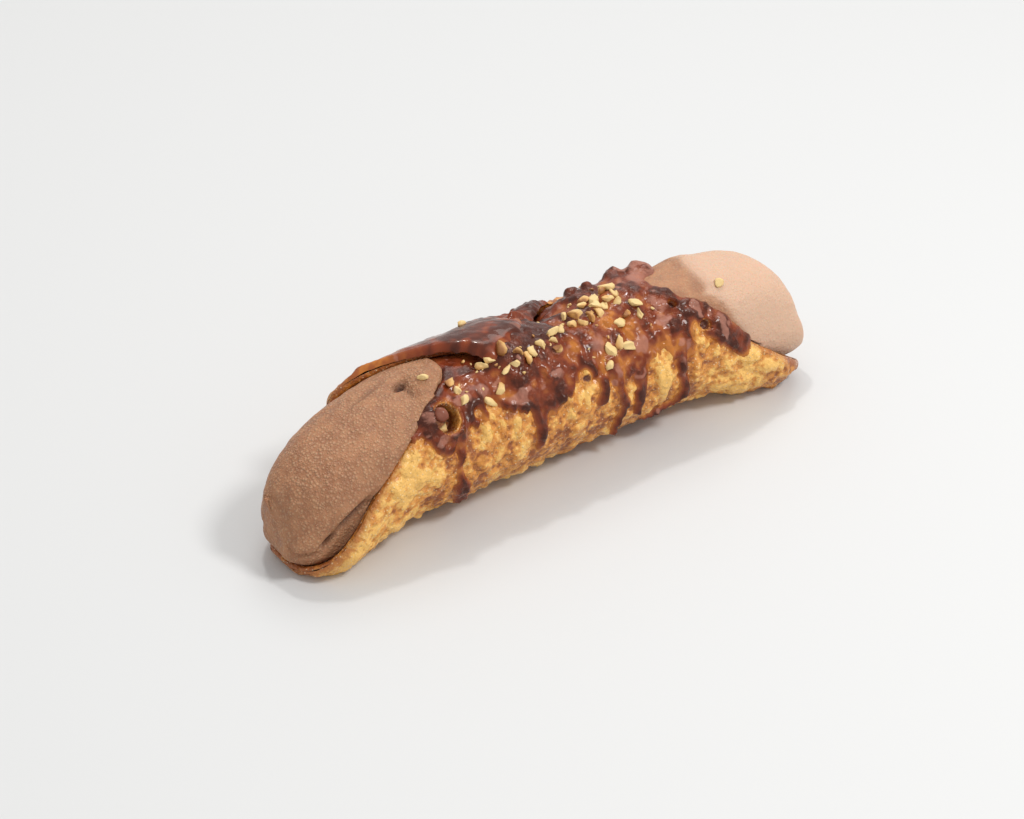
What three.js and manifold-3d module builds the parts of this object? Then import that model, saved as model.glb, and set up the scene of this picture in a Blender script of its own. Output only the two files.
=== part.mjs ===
// A cannolo: an oval of fried pastry rolled into a tube with long tips underneath, packed with
// chocolate ice cream that swells out of both ends, glazed along the top and strewn with nuts.
// Millimetres, +Z up. The roll runs along X and rests on z = 0.
//
// Angles run round the roll's axis in degrees: 0 underneath, 90 at the front (-Y), 180 on top.
// The pastry is a spiral, so its angle runs past the full turn: its outer flap lies at -198,
// on top of the inner flap, which carries on to 265 underneath it.

import * as THREE from 'three';
import { mergeVertices } from 'three/addons/utils/BufferGeometryUtils.js';
import Module from 'manifold-3d';

const wasm = await Module();
wasm.setup();

const { clamp, degToRad, lerp, smoothstep } = THREE.MathUtils;

// Driving dimensions

const middle = { x: 1.3, y: -0.72 };

const roll = {
  axisHeight: 16.6,
  radiusUnderneath: 17.1,
  radiusLostPerDegree: 0.0062,
  thickness: 2.1,
  outerEdge: -198,
  innerEdge: 265,
  seamSkew: { turn: 72, from: -14, to: 20 },
  innerFlapTuck: { depth: 0.9, before: 25, after: 6 },
  flapLift: { height: 0.5, climb: [105, 150], reach: [10, 30] },
  wave: { height: 0.3, length: 8.5, perTurn: 2.6 },
  sag: { x: 6.4, polar: 203, depth: 2.9, length: 8.6, turn: 26, outerFlapPast: -90 },
  flatStrip: { smooth: 12, wavy: 34 },
};

// How far each rim reaches from the middle: full at the tip, drawn back in two steps up each side.
const rims = {
  left: {
    front: { tip: 72, lower: { cut: 20.8, from: 30, to: 112 }, upper: { cut: 27, from: 89, to: 181 } },
    back: { tip: 72.2, lower: { cut: 27.5, from: -8, to: 90 }, upper: { cut: 31, from: 108, to: 198 } },
  },
  right: {
    front: { tip: 72.3, lower: { cut: 19.3, from: 48, to: 105 }, upper: { cut: 17, from: 95, to: 180 } },
    back: { tip: 73, lower: { cut: 24, from: -8, to: 95 }, upper: { cut: 18, from: 100, to: 210 } },
  },
};

// Behind the top the right rim reaches out again.
const rightRimReturns = { by: 5, climb: [186, 203] };

// The rims open like a bell on the front, and the very tips turn in again.
const flare = {
  left: 4.9,
  right: 5.8,
  back: 0.3,
  turnsToFront: [-15, 25],
  angle: 54,
  spread: 34,
  reach: [38, 62],
  tipTurnsIn: 2.6,
  tipReach: [64, 77],
};

const sheetGrid = { along: 48, around: 50 };

const blister = {
  count: 190,
  seed: 41,
  widest: 4.4,
  narrowest: 1.9,
  heightRatio: 0.34,
  alongX: [-74, 74],
  around: [-190, 160],
};

// The glaze: its lower edge on the front as [x, angle], and how far it reaches down the back.
const glaze = {
  thickness: 0.9,
  thinOnLip: { share: 0.7, climb: [120, 150], reach: [18, 32] },
  ripple: { share: 0.25, length: 3.1, perTurn: 9 },
  backAngle: 252,
  feather: 5,
  edge: [[-46, 128], [-36, 114], [-24, 117], [-18, 128], [-8, 110], [5, 119], [23, 102], [31, 106],
    [40, 116], [49, 97], [56, 96]],
};

// Runs of glaze down the pastry: [x, angle] along each one, widths at both ends, and its height.
const drips = [
  { path: [[-27.9, 121], [-30, 104], [-30.6, 90]], widths: [3, 1.4], height: 0.9 },
  { path: [[-30.6, 94], [-30.4, 76], [-29.2, 56], [-28.6, 46]], widths: [2.4, 4.6], height: 1.4 },
  { path: [[-6.5, 114], [-7.2, 93], [-7.8, 73]], widths: [4.6, 2.6], height: 1.2 },
  { path: [[11.6, 122], [11.2, 106], [10.3, 94]], widths: [3.4, 2.6], height: 1.2 },
  { path: [[15.4, 118], [15.6, 99], [17.2, 82], [16, 66], [15.6, 52]], widths: [4, 2.6], height: 1.2 },
  { path: [[22.6, 110], [21.8, 88], [21.4, 68]], widths: [4.4, 2.6], height: 1.2 },
  { path: [[33.6, 112], [34.2, 86], [34.8, 64], [29.4, 57], [24.6, 53]], widths: [4, 3], height: 1.2 },
  { path: [[40.8, 141], [43.2, 122], [48, 98]], widths: [3.6, 3], height: 1.2 },
];

const dripRings = 7;
const dripSides = 7;
const dripSunk = 0.35;

// Chopped nuts: scattered over the glaze in a loose band along the top of the front.
const nuts = {
  seed: 7,
  bands: [
    { count: 4, from: [-27, 176], to: [-25.5, 139], spread: [1, 3] },
    { count: 5, from: [-17, 157], to: [-10, 155], spread: [1.5, 8] },
    { count: 5, from: [-8.5, 150], to: [-1, 156], spread: [1.5, 4] },
    { count: 4, from: [3, 150], to: [6, 166], spread: [1, 3] },
    { count: 16, from: [12, 170], to: [26, 178], spread: [2, 10] },
    { count: 4, from: [17, 150], to: [29, 156], spread: [1.5, 5] },
    { count: 4, from: [12, 122], to: [23, 134], spread: [2, 6] },
  ],
  single: [[-9.4, 216], [-32.4, 126], [-18.8, 131], [-15.5, 137]],
  length: [2.6, 4.4],
  narrowness: [0.55, 0.8],
  halfHeight: 0.95,
  raised: 0.25,
  spacing: 2.3,
  rimMargin: 2.6,
  mostTries: 2000,
};

const chipCorners = [0.78, 1.15];

// A burst blister: a swelling sunk in the pastry with a mouth cut into it from above.
const crater = {
  x: -31.4,
  angle: 132,
  swell: { size: [4.2, 4.6, 2.6], sunk: 1.3 },
  mouth: { size: [3, 3.5, 2.3], raised: 1.9 },
};
const brokenSpot = { x: 4, angle: 190, size: [3, 1.8, 1.6], raised: 0.3 };

// Crusty lumps and a raised flake that stand on the roll's upper outline.
const lumpRaised = 0.3;
const lumps = [
  { x: 1.4, angle: 201, size: [1.9, 0.6, 1.6] },
  { x: 20.6, angle: 212, size: [2.1, 1.7, 1.5] },
  { x: 24, angle: 205, size: [1.5, 1.3, 1.3] },
  { x: 38.8, angle: 211, size: [2.9, 2.2, 2] },
  { x: 33.4, angle: 212, size: [2.6, 1.9, 2.2] },
];

// The ice cream: each end swells from its shoulder to a blunt pole set a little low.
const filling = {
  clearance: 1.35,
  rimGap: 1,
  gapInTrough: { by: 1.8, climb: [95, 120] },
  lipStep: 0.5,
  around: 36,
  coreColumns: 10,
  domeColumns: 9,
  left: { pole: [-73, -3, 9.6], deepest: 54, crown: 16.7, foot: 17, bluntCrown: 0.15, bluntFoot: 0.85 },
  right: { pole: [75.6, -5.5, 7.5], deepest: 60, crown: 16, foot: 17.6, bluntCrown: 0.6, bluntFoot: 0.9 },
  bluntInFront: { climb: [55, 112], back: [-50, 0] },
  footHeight: 3,
  swells: [55, 110],
  flushBack: { from: [-145, -80], to: [-40, 5] },
  flapStep: [6, 32],
  valley: { x: -58.5, angle: 73, slant: 49, depth: 1.8, length: 7, width: 2.2 },
  smear: { sunk: 0.8, upTo: [46.5, 50] },
  ridge: { x: 52.5, height: 0.5, length: 2.6, climb: [100, 130] },
  nuts: [[-31.5, 168], [52, 150]],
};

// Small helpers

function seededDraw(seed) {
  let state = seed;
  return () => {
    state = (state * 1664525 + 1013904223) % 4294967296;
    return state / 4294967296;
  };
}

function bell(value, centre, width) {
  return Math.exp(-(((value - centre) / width) ** 2));
}

function alongOutline(points, x) {
  const last = points.length - 1;
  let k = 0;
  while (k < last - 1 && x > points[k + 1][0]) {
    k += 1;
  }
  const [x0, value0] = points[k];
  const [x1, value1] = points[k + 1];
  const t = clamp((x - x0) / (x1 - x0), 0, 1);
  return lerp(value0, value1, t * t * (3 - 2 * t));
}

// The point at x, at an angle round the axis, a radius away from it.
function aroundAxis(x, angle, radius) {
  const turn = degToRad(angle);
  return new THREE.Vector3(x, -radius * Math.sin(turn), roll.axisHeight - radius * Math.cos(turn));
}

function outward(angle) {
  const turn = degToRad(angle);
  return new THREE.Vector3(0, -Math.sin(turn), -Math.cos(turn));
}

function closedGeometry(vertices, triangles) {
  const geometry = new THREE.BufferGeometry();
  const flat = vertices.flatMap((vertex) => [vertex.x, vertex.y, vertex.z]);
  geometry.setAttribute('position', new THREE.Float32BufferAttribute(flat, 3));
  geometry.setIndex(triangles.flat());
  return geometry;
}

function toSolid(geometry) {
  const bare = geometry.clone();
  bare.deleteAttribute('normal');
  bare.deleteAttribute('uv');
  const merged = mergeVertices(bare, 1e-4);
  return new wasm.Manifold(new wasm.Mesh({
    numProp: 3,
    vertProperties: new Float32Array(merged.attributes.position.array),
    triVerts: new Uint32Array(merged.index.array),
  }));
}

function toGeometry(solid) {
  const mesh = solid.getMesh();
  const geometry = new THREE.BufferGeometry();
  geometry.setAttribute('position', new THREE.BufferAttribute(mesh.vertProperties, 3));
  geometry.setIndex(new THREE.BufferAttribute(mesh.triVerts, 1));
  geometry.computeVertexNormals();
  return geometry;
}

// The pastry

function rimReach(side, angle) {
  const rim = angle < 0 ? side.back : side.front;
  const climb = Math.abs(angle);
  const lower = rim.lower.cut * smoothstep(climb, rim.lower.from, rim.lower.to);
  const upper = rim.upper.cut * smoothstep(climb, rim.upper.from, rim.upper.to);
  const returns = side === rims.right ? rightRimReturns.by * smoothstep(angle, ...rightRimReturns.climb) : 0;
  return rim.tip - lower - upper + returns;
}

// The outer flap's edge runs askew over the top: at its left it reaches furthest to the front.
function seamSkew(x) {
  return roll.seamSkew.turn * smoothstep(x, roll.seamSkew.from, roll.seamSkew.to);
}

function seamAngle(x) {
  return roll.outerEdge + 360 + seamSkew(x);
}

function flareAt(angle, x) {
  const amount = x < 0 ? flare.left : flare.right;
  const atAngle = lerp(flare.back, 1, smoothstep(angle, ...flare.turnsToFront));
  const reach = Math.abs(x);
  const opens = amount * atAngle * smoothstep(reach, ...flare.reach);
  const turnsIn = flare.tipTurnsIn * smoothstep(reach, ...flare.tipReach);
  return opens * bell(Math.abs(angle), flare.angle, flare.spread) - turnsIn;
}

// The smooth outer face of the pastry at a spiral angle.
function pastryRadius(angle, x) {
  const { wave, innerFlapTuck: tuck, flapLift: lift, sag, flatStrip } = roll;
  const offTheFloor = smoothstep(Math.abs(angle), flatStrip.smooth, flatStrip.wavy);
  const around = Math.cos(degToRad(wave.perTurn * angle) + 0.4);
  const waves = wave.height * Math.sin(x / wave.length + 1.3) * around * offTheFloor;
  const tucked = tuck.depth * smoothstep(angle, seamAngle(x) - tuck.before, seamAngle(x) + tuck.after);
  const lifted = lift.height * smoothstep(-angle, ...lift.climb) * smoothstep(-x, ...lift.reach);
  const polar = angle < sag.outerFlapPast ? angle + 360 : angle;
  const sunk = sag.depth * bell(x, sag.x, sag.length) * bell(polar, sag.polar, sag.turn);
  const spiral = roll.radiusUnderneath - roll.radiusLostPerDegree * angle;
  return spiral - tucked + lifted - sunk + waves + flareAt(angle, x);
}

function placeBlisters() {
  const draw = seededDraw(blister.seed);
  const placed = [];
  for (let k = 0; k < blister.count; k += 1) {
    const size = lerp(blister.widest, blister.narrowest, Math.sqrt(k / blister.count));
    placed.push({
      x: lerp(...blister.alongX, draw()),
      angle: lerp(...blister.around, draw()),
      size,
      height: size * blister.heightRatio * lerp(0.5, 1, draw()),
    });
  }
  return placed;
}

const blisters = placeBlisters();

function blisterHeight(angle, x) {
  const degreeLength = degToRad(roll.radiusUnderneath);
  let height = 0;
  for (const spot of blisters) {
    const across = (x - spot.x) / spot.size;
    const around = ((angle - spot.angle) * degreeLength) / spot.size;
    const distance = across * across + around * around;
    if (distance < 1) {
      height = Math.max(height, spot.height * (1 - distance) ** 2);
    }
  }
  return height;
}

function glazeHeight(angle, x) {
  const { ripple, thinOnLip: lip } = glaze;
  const polar = angle < glaze.backAngle - 360 ? angle + 360 : angle;
  const edge = alongOutline(glaze.edge, x);
  const front = smoothstep(polar, edge - glaze.feather, edge);
  const back = 1 - smoothstep(polar, glaze.backAngle - glaze.feather, glaze.backAngle);
  const ripples = 1 + ripple.share * Math.sin(x / ripple.length) * Math.sin(degToRad(ripple.perTurn * angle));
  const onLip = 1 - lip.share * smoothstep(-angle, ...lip.climb) * smoothstep(-x, ...lip.reach);
  return glaze.thickness * ripples * front * back * onLip;
}

// Blisters and glaze stand on the outer face, but not where the outer flap covers the inner one,
// and not on the strip underneath that the roll lies on.
function reliefAt(angle, x) {
  const uncovered = 1 - smoothstep(angle, seamAngle(x) - 10, seamAngle(x) - 3);
  const offTheFloor = smoothstep(Math.abs(angle), roll.flatStrip.smooth, roll.flatStrip.wavy);
  return (blisterHeight(angle, x) + glazeHeight(angle, x)) * uncovered * offTheFloor;
}

function outerPoint(angle, x) {
  const point = aroundAxis(x, angle, pastryRadius(angle, x) + reliefAt(angle, x));
  point.z = Math.max(point.z, 0);
  return point;
}

function innerPoint(angle, x) {
  return aroundAxis(x, angle, pastryRadius(angle, x) - roll.thickness);
}

function sheetPlace(alongShare, aroundShare) {
  const angle = lerp(roll.outerEdge, roll.innerEdge, aroundShare);
  const x = lerp(-rimReach(rims.left, angle), rimReach(rims.right, angle), alongShare);
  return { angle: angle + seamSkew(x) * smoothstep(-angle, 100, -roll.outerEdge), x };
}

// One face of the sheet as a grid of points, with a list of rows of vertex numbers.
function faceGrid(vertices, along, around, pointAt) {
  const rows = [];
  for (let j = 0; j <= around; j += 1) {
    const row = [];
    for (let i = 0; i <= along; i += 1) {
      const { angle, x } = sheetPlace(i / along, j / around);
      row.push(vertices.length);
      vertices.push(pointAt(angle, x));
    }
    rows.push(row);
  }
  return rows;
}

function gridTriangles(rows, flipped) {
  const triangles = [];
  for (let j = 0; j + 1 < rows.length; j += 1) {
    for (let i = 0; i + 1 < rows[j].length; i += 1) {
      const [a, b] = [rows[j][i], rows[j][i + 1]];
      const [c, d] = [rows[j + 1][i], rows[j + 1][i + 1]];
      triangles.push(flipped ? [a, c, b] : [a, b, c]);
      triangles.push(flipped ? [b, c, d] : [b, d, c]);
    }
  }
  return triangles;
}

function borderOf(rows) {
  const first = rows[0];
  const last = rows[rows.length - 1];
  const right = rows.map((row) => row[row.length - 1]);
  const left = rows.map((row) => row[0]);
  const wayBack = [...last.slice(1).reverse(), ...left.slice(1).reverse()];
  return [...first.slice(0, -1), ...right.slice(0, -1), ...wayBack];
}

// The sheet's cut edge joins the fine outer face to the inner face, which has half its columns and rows.
function edgeTriangles(fine, coarse) {
  const triangles = [];
  coarse.forEach((corner, k) => {
    const next = coarse[(k + 1) % coarse.length];
    const [start, mid, end] = [fine[2 * k], fine[2 * k + 1], fine[(2 * k + 2) % fine.length]];
    triangles.push([mid, start, corner], [corner, next, mid], [end, mid, next]);
  });
  return triangles;
}

function pastrySheet() {
  const vertices = [];
  const outer = faceGrid(vertices, sheetGrid.along, sheetGrid.around, outerPoint);
  const inner = faceGrid(vertices, sheetGrid.along / 2, sheetGrid.around / 2, innerPoint);
  const triangles = [
    ...gridTriangles(outer, false),
    ...gridTriangles(inner, true),
    ...edgeTriangles(borderOf(outer), borderOf(inner)),
  ];
  return closedGeometry(vertices, triangles);
}

// What lies on the pastry

function isOnOuterFlap(polar, x) {
  const angle = polar - 360;
  return polar > seamAngle(x) && x > -rimReach(rims.left, angle) && x < rimReach(rims.right, angle);
}

function surfaceRadius(polar, x) {
  const angle = isOnOuterFlap(polar, x) ? polar - 360 : polar;
  return pastryRadius(angle, x) + reliefAt(angle, x);
}

// A run of glaze: rings along its path, sunk a little into the pastry, rounded off at both ends.
function dripGeometry({ path, widths, height }) {
  const curve = new THREE.CatmullRomCurve3(path.map(([x, angle]) => new THREE.Vector3(x, angle, 0)));
  const vertices = [];
  const triangles = [];
  for (let k = 0; k <= dripRings; k += 1) {
    const share = k / dripRings;
    const spot = curve.getPoint(share);
    const next = curve.getPoint(Math.min(share + 0.02, 1));
    const before = curve.getPoint(Math.max(share - 0.02, 0));
    const radius = surfaceRadius(spot.y, spot.x) - dripSunk;
    const along = aroundAxis(next.x, next.y, radius).sub(aroundAxis(before.x, before.y, radius)).normalize();
    const up = outward(spot.y);
    const side = new THREE.Vector3().crossVectors(up, along);
    const taper = Math.sqrt(Math.max(0, 1 - Math.abs(2 * share - 1) ** 5));
    const halfWidth = (lerp(widths[0], widths[1], share) / 2) * taper;
    const centre = aroundAxis(spot.x, spot.y, radius);
    if (k === 0 || k === dripRings) {
      vertices.push(centre);
      continue;
    }
    for (let n = 0; n < dripSides; n += 1) {
      const turn = (2 * Math.PI * n) / dripSides;
      const vertex = centre.clone().addScaledVector(side, halfWidth * Math.cos(turn));
      vertices.push(vertex.addScaledVector(up, height * taper * Math.sin(turn)));
    }
  }
  const last = vertices.length - 1;
  for (let n = 0; n < dripSides; n += 1) {
    const m = (n + 1) % dripSides;
    triangles.push([0, 1 + m, 1 + n]);
    for (let k = 0; k < dripRings - 2; k += 1) {
      const [a, b] = [1 + k * dripSides + n, 1 + k * dripSides + m];
      triangles.push([a, b, a + dripSides], [b, b + dripSides, a + dripSides]);
    }
    triangles.push([last, last - dripSides + n, last - dripSides + m]);
  }
  return closedGeometry(vertices, triangles);
}

// An uneven chip with twenty faces, from an icosahedron with its corners pushed about.
function chipGeometry(size, draw) {
  const chip = new THREE.IcosahedronGeometry(1, 0);
  chip.deleteAttribute('normal');
  chip.deleteAttribute('uv');
  const merged = mergeVertices(chip, 1e-4);
  const corner = new THREE.Vector3();
  const position = merged.attributes.position;
  for (let k = 0; k < position.count; k += 1) {
    corner.fromBufferAttribute(position, k).multiplyScalar(lerp(...chipCorners, draw()));
    position.setXYZ(k, corner.x * size[0], corner.y * size[1], corner.z * size[2]);
  }
  return merged;
}

// Turns a piece so that its Z points away from the axis, spins it there and moves it to its place.
function layOn(geometry, x, angle, radius, spin) {
  const up = outward(angle);
  const along = new THREE.Vector3(1, 0, 0);
  const side = new THREE.Vector3().crossVectors(up, along);
  const place = new THREE.Matrix4().makeBasis(along, side, up);
  place.setPosition(aroundAxis(x, angle, radius));
  return geometry.applyMatrix4(new THREE.Matrix4().makeRotationZ(spin)).applyMatrix4(place);
}

function placeNuts(draw) {
  const placed = nuts.single.map(([x, angle]) => ({ x, angle }));
  const degreeLength = degToRad(roll.radiusUnderneath);
  for (const band of nuts.bands) {
    let tries = 0;
    let kept = 0;
    while (kept < band.count && tries < nuts.mostTries) {
      tries += 1;
      const share = draw();
      const x = lerp(band.from[0], band.to[0], share) + band.spread[0] * (2 * draw() - 1);
      const angle = lerp(band.from[1], band.to[1], share) + band.spread[1] * (2 * draw() - 1);
      const offTheRims = x > nuts.rimMargin - rimReach(rims.left, angle)
        && x < rimReach(rims.right, angle) - nuts.rimMargin;
      const clear = placed.every((nut) => {
        const apart = Math.hypot(x - nut.x, (angle - nut.angle) * degreeLength);
        return apart > nuts.spacing;
      });
      if (offTheRims && clear) {
        placed.push({ x, angle });
        kept += 1;
      }
    }
  }
  return placed;
}

function nutSolid(x, angle, radius, draw) {
  const length = lerp(...nuts.length, draw() ** 2);
  const size = [length / 2, (length / 2) * lerp(...nuts.narrowness, draw()), nuts.halfHeight];
  return toSolid(layOn(chipGeometry(size, draw), x, angle, radius + nuts.raised, Math.PI * draw()));
}

function ellipsoid([along, around, deep]) {
  return new THREE.SphereGeometry(1, 14, 9).scale(along, around, deep);
}

function shellSolid() {
  const draw = seededDraw(nuts.seed);
  const { swell, mouth } = crater;
  const craterRadius = surfaceRadius(crater.angle, crater.x);
  const swelling = layOn(ellipsoid(swell.size), crater.x, crater.angle, craterRadius - swell.sunk, 0);
  const opening = layOn(ellipsoid(mouth.size), crater.x, crater.angle, craterRadius + mouth.raised, 0);
  const brokenRadius = surfaceRadius(brokenSpot.angle, brokenSpot.x) + brokenSpot.raised;
  const broken = layOn(ellipsoid(brokenSpot.size), brokenSpot.x, brokenSpot.angle, brokenRadius, 0);

  let solid = toSolid(pastrySheet()).add(toSolid(swelling));
  for (const drip of drips) {
    solid = solid.add(toSolid(dripGeometry(drip)));
  }
  for (const lump of lumps) {
    const radius = surfaceRadius(lump.angle, lump.x) + lumpRaised;
    solid = solid.add(toSolid(layOn(chipGeometry(lump.size, draw), lump.x, lump.angle, radius, 0)));
  }
  solid = solid.subtract(toSolid(opening)).subtract(toSolid(broken));
  for (const nut of placeNuts(draw)) {
    solid = solid.add(nutSolid(nut.x, nut.angle, surfaceRadius(nut.angle, nut.x), draw));
  }
  return solid;
}

// The ice cream

function innerFace(angle, x) {
  return pastryRadius(angle, x) - roll.thickness;
}

// The room inside the roll: under the inner flap as far as its edge, then out to the outer turn.
function innerRoom(polar, x) {
  const flapEnd = roll.innerEdge - 360;
  const underFlap = polar < flapEnd ? polar + 360 : polar;
  const room = innerFace(underFlap, x) - filling.clearance;
  if (polar < flapEnd || polar > 0) {
    return room;
  }
  const atFlapEnd = innerFace(roll.innerEdge, x) - filling.clearance;
  const [from, to] = filling.flapStep;
  return lerp(atFlapEnd, room, smoothstep(polar, flapEnd + from, flapEnd + to));
}

// Where the ice cream leaves the roll: just past the rim of the innermost turn.
function exitReach(side, dome, polar) {
  const flapEnd = roll.innerEdge - 360;
  const inner = rimReach(side, polar < flapEnd ? polar + 360 : polar);
  const atFlapEnd = rimReach(side, roll.innerEdge);
  const past = polar < flapEnd || polar > 0 ? 1 : smoothstep(polar, flapEnd, flapEnd + filling.flapStep[1]);
  return Math.min(lerp(atFlapEnd, inner, past) + filling.rimGap, dome.deepest);
}

// Draws a point in towards the axis until it clears the turns of pastry that lie over it.
function keptInside(side, point) {
  const polar = THREE.MathUtils.radToDeg(Math.atan2(-point.y, roll.axisHeight - point.z));
  const radius = Math.hypot(point.y, roll.axisHeight - point.z);
  const { by, climb } = filling.gapInTrough;
  const rimGap = lerp(by, filling.rimGap, smoothstep(Math.abs(polar), ...climb));
  const turns = [polar, polar + 360].filter((angle) => angle < roll.innerEdge);
  let limit = radius;
  for (const angle of turns) {
    if (Math.abs(point.x) < rimReach(side, angle) + rimGap) {
      limit = Math.min(limit, innerFace(angle, point.x) - filling.clearance);
    }
  }
  return aroundAxis(point.x, polar, limit);
}

// On the back the ice cream leaves the roll flush with its inner face, elsewhere it swells above it.
function shoulderRadius(dome, polar) {
  const { from, to } = filling.flushBack;
  const swollen = lerp(dome.foot, dome.crown, smoothstep(Math.abs(polar), ...filling.swells));
  const flush = innerFace(polar, 0) - filling.rimGap;
  return lerp(swollen, flush, smoothstep(polar, ...from) * (1 - smoothstep(polar, ...to)));
}

function domePoint(dome, sign, reach, polar, share) {
  const turn = (share * Math.PI) / 2;
  const [poleX, poleY, poleZ] = dome.pole;
  const x = sign * lerp(reach, Math.abs(poleX), Math.sin(turn));
  const { valley, smear, ridge } = filling;
  const [across, around] = [x - valley.x, degToRad(polar - valley.angle) * roll.axisHeight];
  const [cosine, sine] = [Math.cos(degToRad(valley.slant)), Math.sin(degToRad(valley.slant))];
  const alongValley = bell(across * cosine + around * sine, 0, valley.length);
  const dent = valley.depth * alongValley * bell(around * cosine - across * sine, 0, valley.width);
  const thinner = sign > 0 ? smear.sunk * (1 - smoothstep(x, ...smear.upTo)) : 0;
  const onTop = smoothstep(Math.abs(polar), ...ridge.climb);
  const fold = (ridge.height * bell(x, ridge.x, ridge.length) - thinner) * onTop;
  const edge = aroundAxis(x, polar, shoulderRadius(dome, polar) - dent + fold);
  edge.z = Math.max(edge.z, filling.footHeight);
  const { climb, back } = filling.bluntInFront;
  const inFront = smoothstep(polar, ...back) * (1 - smoothstep(polar, ...climb));
  const bluntness = lerp(dome.bluntCrown, dome.bluntFoot, inFront);
  const swell = Math.cos(turn) ** (1 - bluntness);
  const side = sign < 0 ? rims.left : rims.right;
  return keptInside(side, new THREE.Vector3(x, lerp(poleY, edge.y, swell), lerp(poleZ, edge.z, swell)));
}

function endColumns(side, dome, sign, polar) {
  const reach = exitReach(side, dome, polar);
  const room = Math.min(innerRoom(polar, sign * reach), shoulderRadius(dome, polar) + filling.lipStep);
  const column = [aroundAxis(sign * reach, polar, room)];
  for (let k = 0; k < filling.domeColumns; k += 1) {
    column.push(domePoint(dome, sign, reach + filling.lipStep, polar, k / filling.domeColumns));
  }
  return column;
}

function fillingGeometry() {
  const vertices = [];
  const rows = [];
  for (let j = 0; j < filling.around; j += 1) {
    const polar = -180 + (360 * j) / filling.around;
    const left = endColumns(rims.left, filling.left, -1, polar).reverse();
    const right = endColumns(rims.right, filling.right, 1, polar);
    const core = [];
    for (let k = 1; k < filling.coreColumns; k += 1) {
      const x = lerp(left[left.length - 1].x, right[0].x, k / filling.coreColumns);
      core.push(aroundAxis(x, polar, innerRoom(polar, x)));
    }
    rows.push([...left, ...core, ...right].map((point) => vertices.push(point) - 1));
  }
  rows.push(rows[0]);
  const leftPole = vertices.push(new THREE.Vector3(...filling.left.pole)) - 1;
  const rightPole = vertices.push(new THREE.Vector3(...filling.right.pole)) - 1;
  const triangles = gridTriangles(rows, false);
  const lastColumn = rows[0].length - 1;
  for (let j = 0; j < filling.around; j += 1) {
    triangles.push([rows[j][0], rows[j + 1][0], leftPole]);
    triangles.push([rows[j + 1][lastColumn], rows[j][lastColumn], rightPole]);
  }
  return closedGeometry(vertices, triangles);
}

function fillingSolid() {
  const draw = seededDraw(nuts.seed + 1);
  let solid = toSolid(fillingGeometry());
  for (const [x, polar] of filling.nuts) {
    const dome = x < 0 ? filling.left : filling.right;
    solid = solid.add(nutSolid(x, polar, shoulderRadius(dome, polar), draw));
  }
  return solid;
}

function namedMesh(name, solid, material) {
  const mesh = new THREE.Mesh(toGeometry(solid), material);
  mesh.name = name;
  return mesh;
}

const cannolo = new THREE.Group();
cannolo.position.set(-middle.x, -middle.y, 0);

cannolo.add(namedMesh('shell', shellSolid(), new THREE.MeshStandardMaterial({
  color: 0xc98a42,
  roughness: 0.55,
  metalness: 0,
})));

cannolo.add(namedMesh('filling', fillingSolid(), new THREE.MeshStandardMaterial({
  color: 0xa87d66,
  roughness: 0.6,
  metalness: 0,
})));

export default cannolo;
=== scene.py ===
import math

import bmesh
import bpy
import numpy as np
from mathutils import Matrix, Vector


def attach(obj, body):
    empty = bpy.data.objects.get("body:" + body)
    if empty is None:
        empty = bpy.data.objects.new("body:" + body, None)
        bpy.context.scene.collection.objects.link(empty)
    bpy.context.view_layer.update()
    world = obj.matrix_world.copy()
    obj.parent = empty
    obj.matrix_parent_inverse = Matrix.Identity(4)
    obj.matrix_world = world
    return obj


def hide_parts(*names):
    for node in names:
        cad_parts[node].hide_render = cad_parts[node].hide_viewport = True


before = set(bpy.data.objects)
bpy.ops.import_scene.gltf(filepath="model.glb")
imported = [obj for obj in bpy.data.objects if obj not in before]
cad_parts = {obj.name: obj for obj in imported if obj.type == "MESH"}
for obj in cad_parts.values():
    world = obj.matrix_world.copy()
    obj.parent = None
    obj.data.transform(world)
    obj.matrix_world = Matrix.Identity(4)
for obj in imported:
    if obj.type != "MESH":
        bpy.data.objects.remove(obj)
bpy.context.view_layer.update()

# Everything is worked out in millimetres round the roll's axis, and put in metres at the end.
# Angles are degrees: 0 underneath, 90 at the front, 180 on top. The pastry is a spiral, so its
# angle runs from the outer flap at -198 to the inner flap at 265 underneath it.

print("cannolo: shape rules")

roll = {
    "middle": (1.3, -0.72),
    "axisHeight": 16.6,
    "radius": 17.1,  # underneath, where the angle is 0
    "lostPerDegree": 0.0062,
    "thickness": 2.1,
    "outerEdge": -198,
    "innerEdge": 265,
    "backFrom": -104,  # the outer flap counts as the back from here on
    "flatUnder": (12, 34),  # smooth up to the first angle, with all its relief from the second on
    "skew": {"turn": 72, "x": (-14, 20)},  # the outer flap's edge swings back over the top
    "tuck": {"depth": 0.9, "past": (-25, 6)},  # the inner flap dips under the outer one
    "lift": {"height": 0.5, "climb": (105, 150), "x": (10, 30)},
    "wave": {"height": 0.3, "length": 8.5, "shift": 1.3, "perTurn": 2.6, "turned": 0.4},
    "sag": {"x": 6.4, "polar": 203, "depth": 2.9, "length": 8.6, "turn": 26},
}

# how far each rim reaches: full at the tip, then drawn back in two steps up each side
rims = {
    ("left", "front"): (72, (20.8, 30, 112), (27, 89, 181)),
    ("left", "back"): (72.2, (27.5, -8, 90), (31, 108, 198)),
    ("right", "front"): (72.3, (19.3, 48, 105), (17, 95, 180)),
    ("right", "back"): (73, (24, -8, 95), (18, 100, 210)),
}
rightRimReturns = (5, 186, 203)

flare = {"left": 4.9, "right": 5.8, "back": 0.3, "frontFrom": (-15, 25), "angle": 54, "spread": 34,
         "reach": (38, 62), "tipTurnsIn": 2.6, "tipReach": (64, 77)}


def smooth(value, low, high):
    t = np.clip((np.asarray(value, float) - low) / (high - low), 0, 1)
    return t * t * (3 - 2 * t)


def mix(a, b, t):
    return a + (b - a) * t


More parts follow.
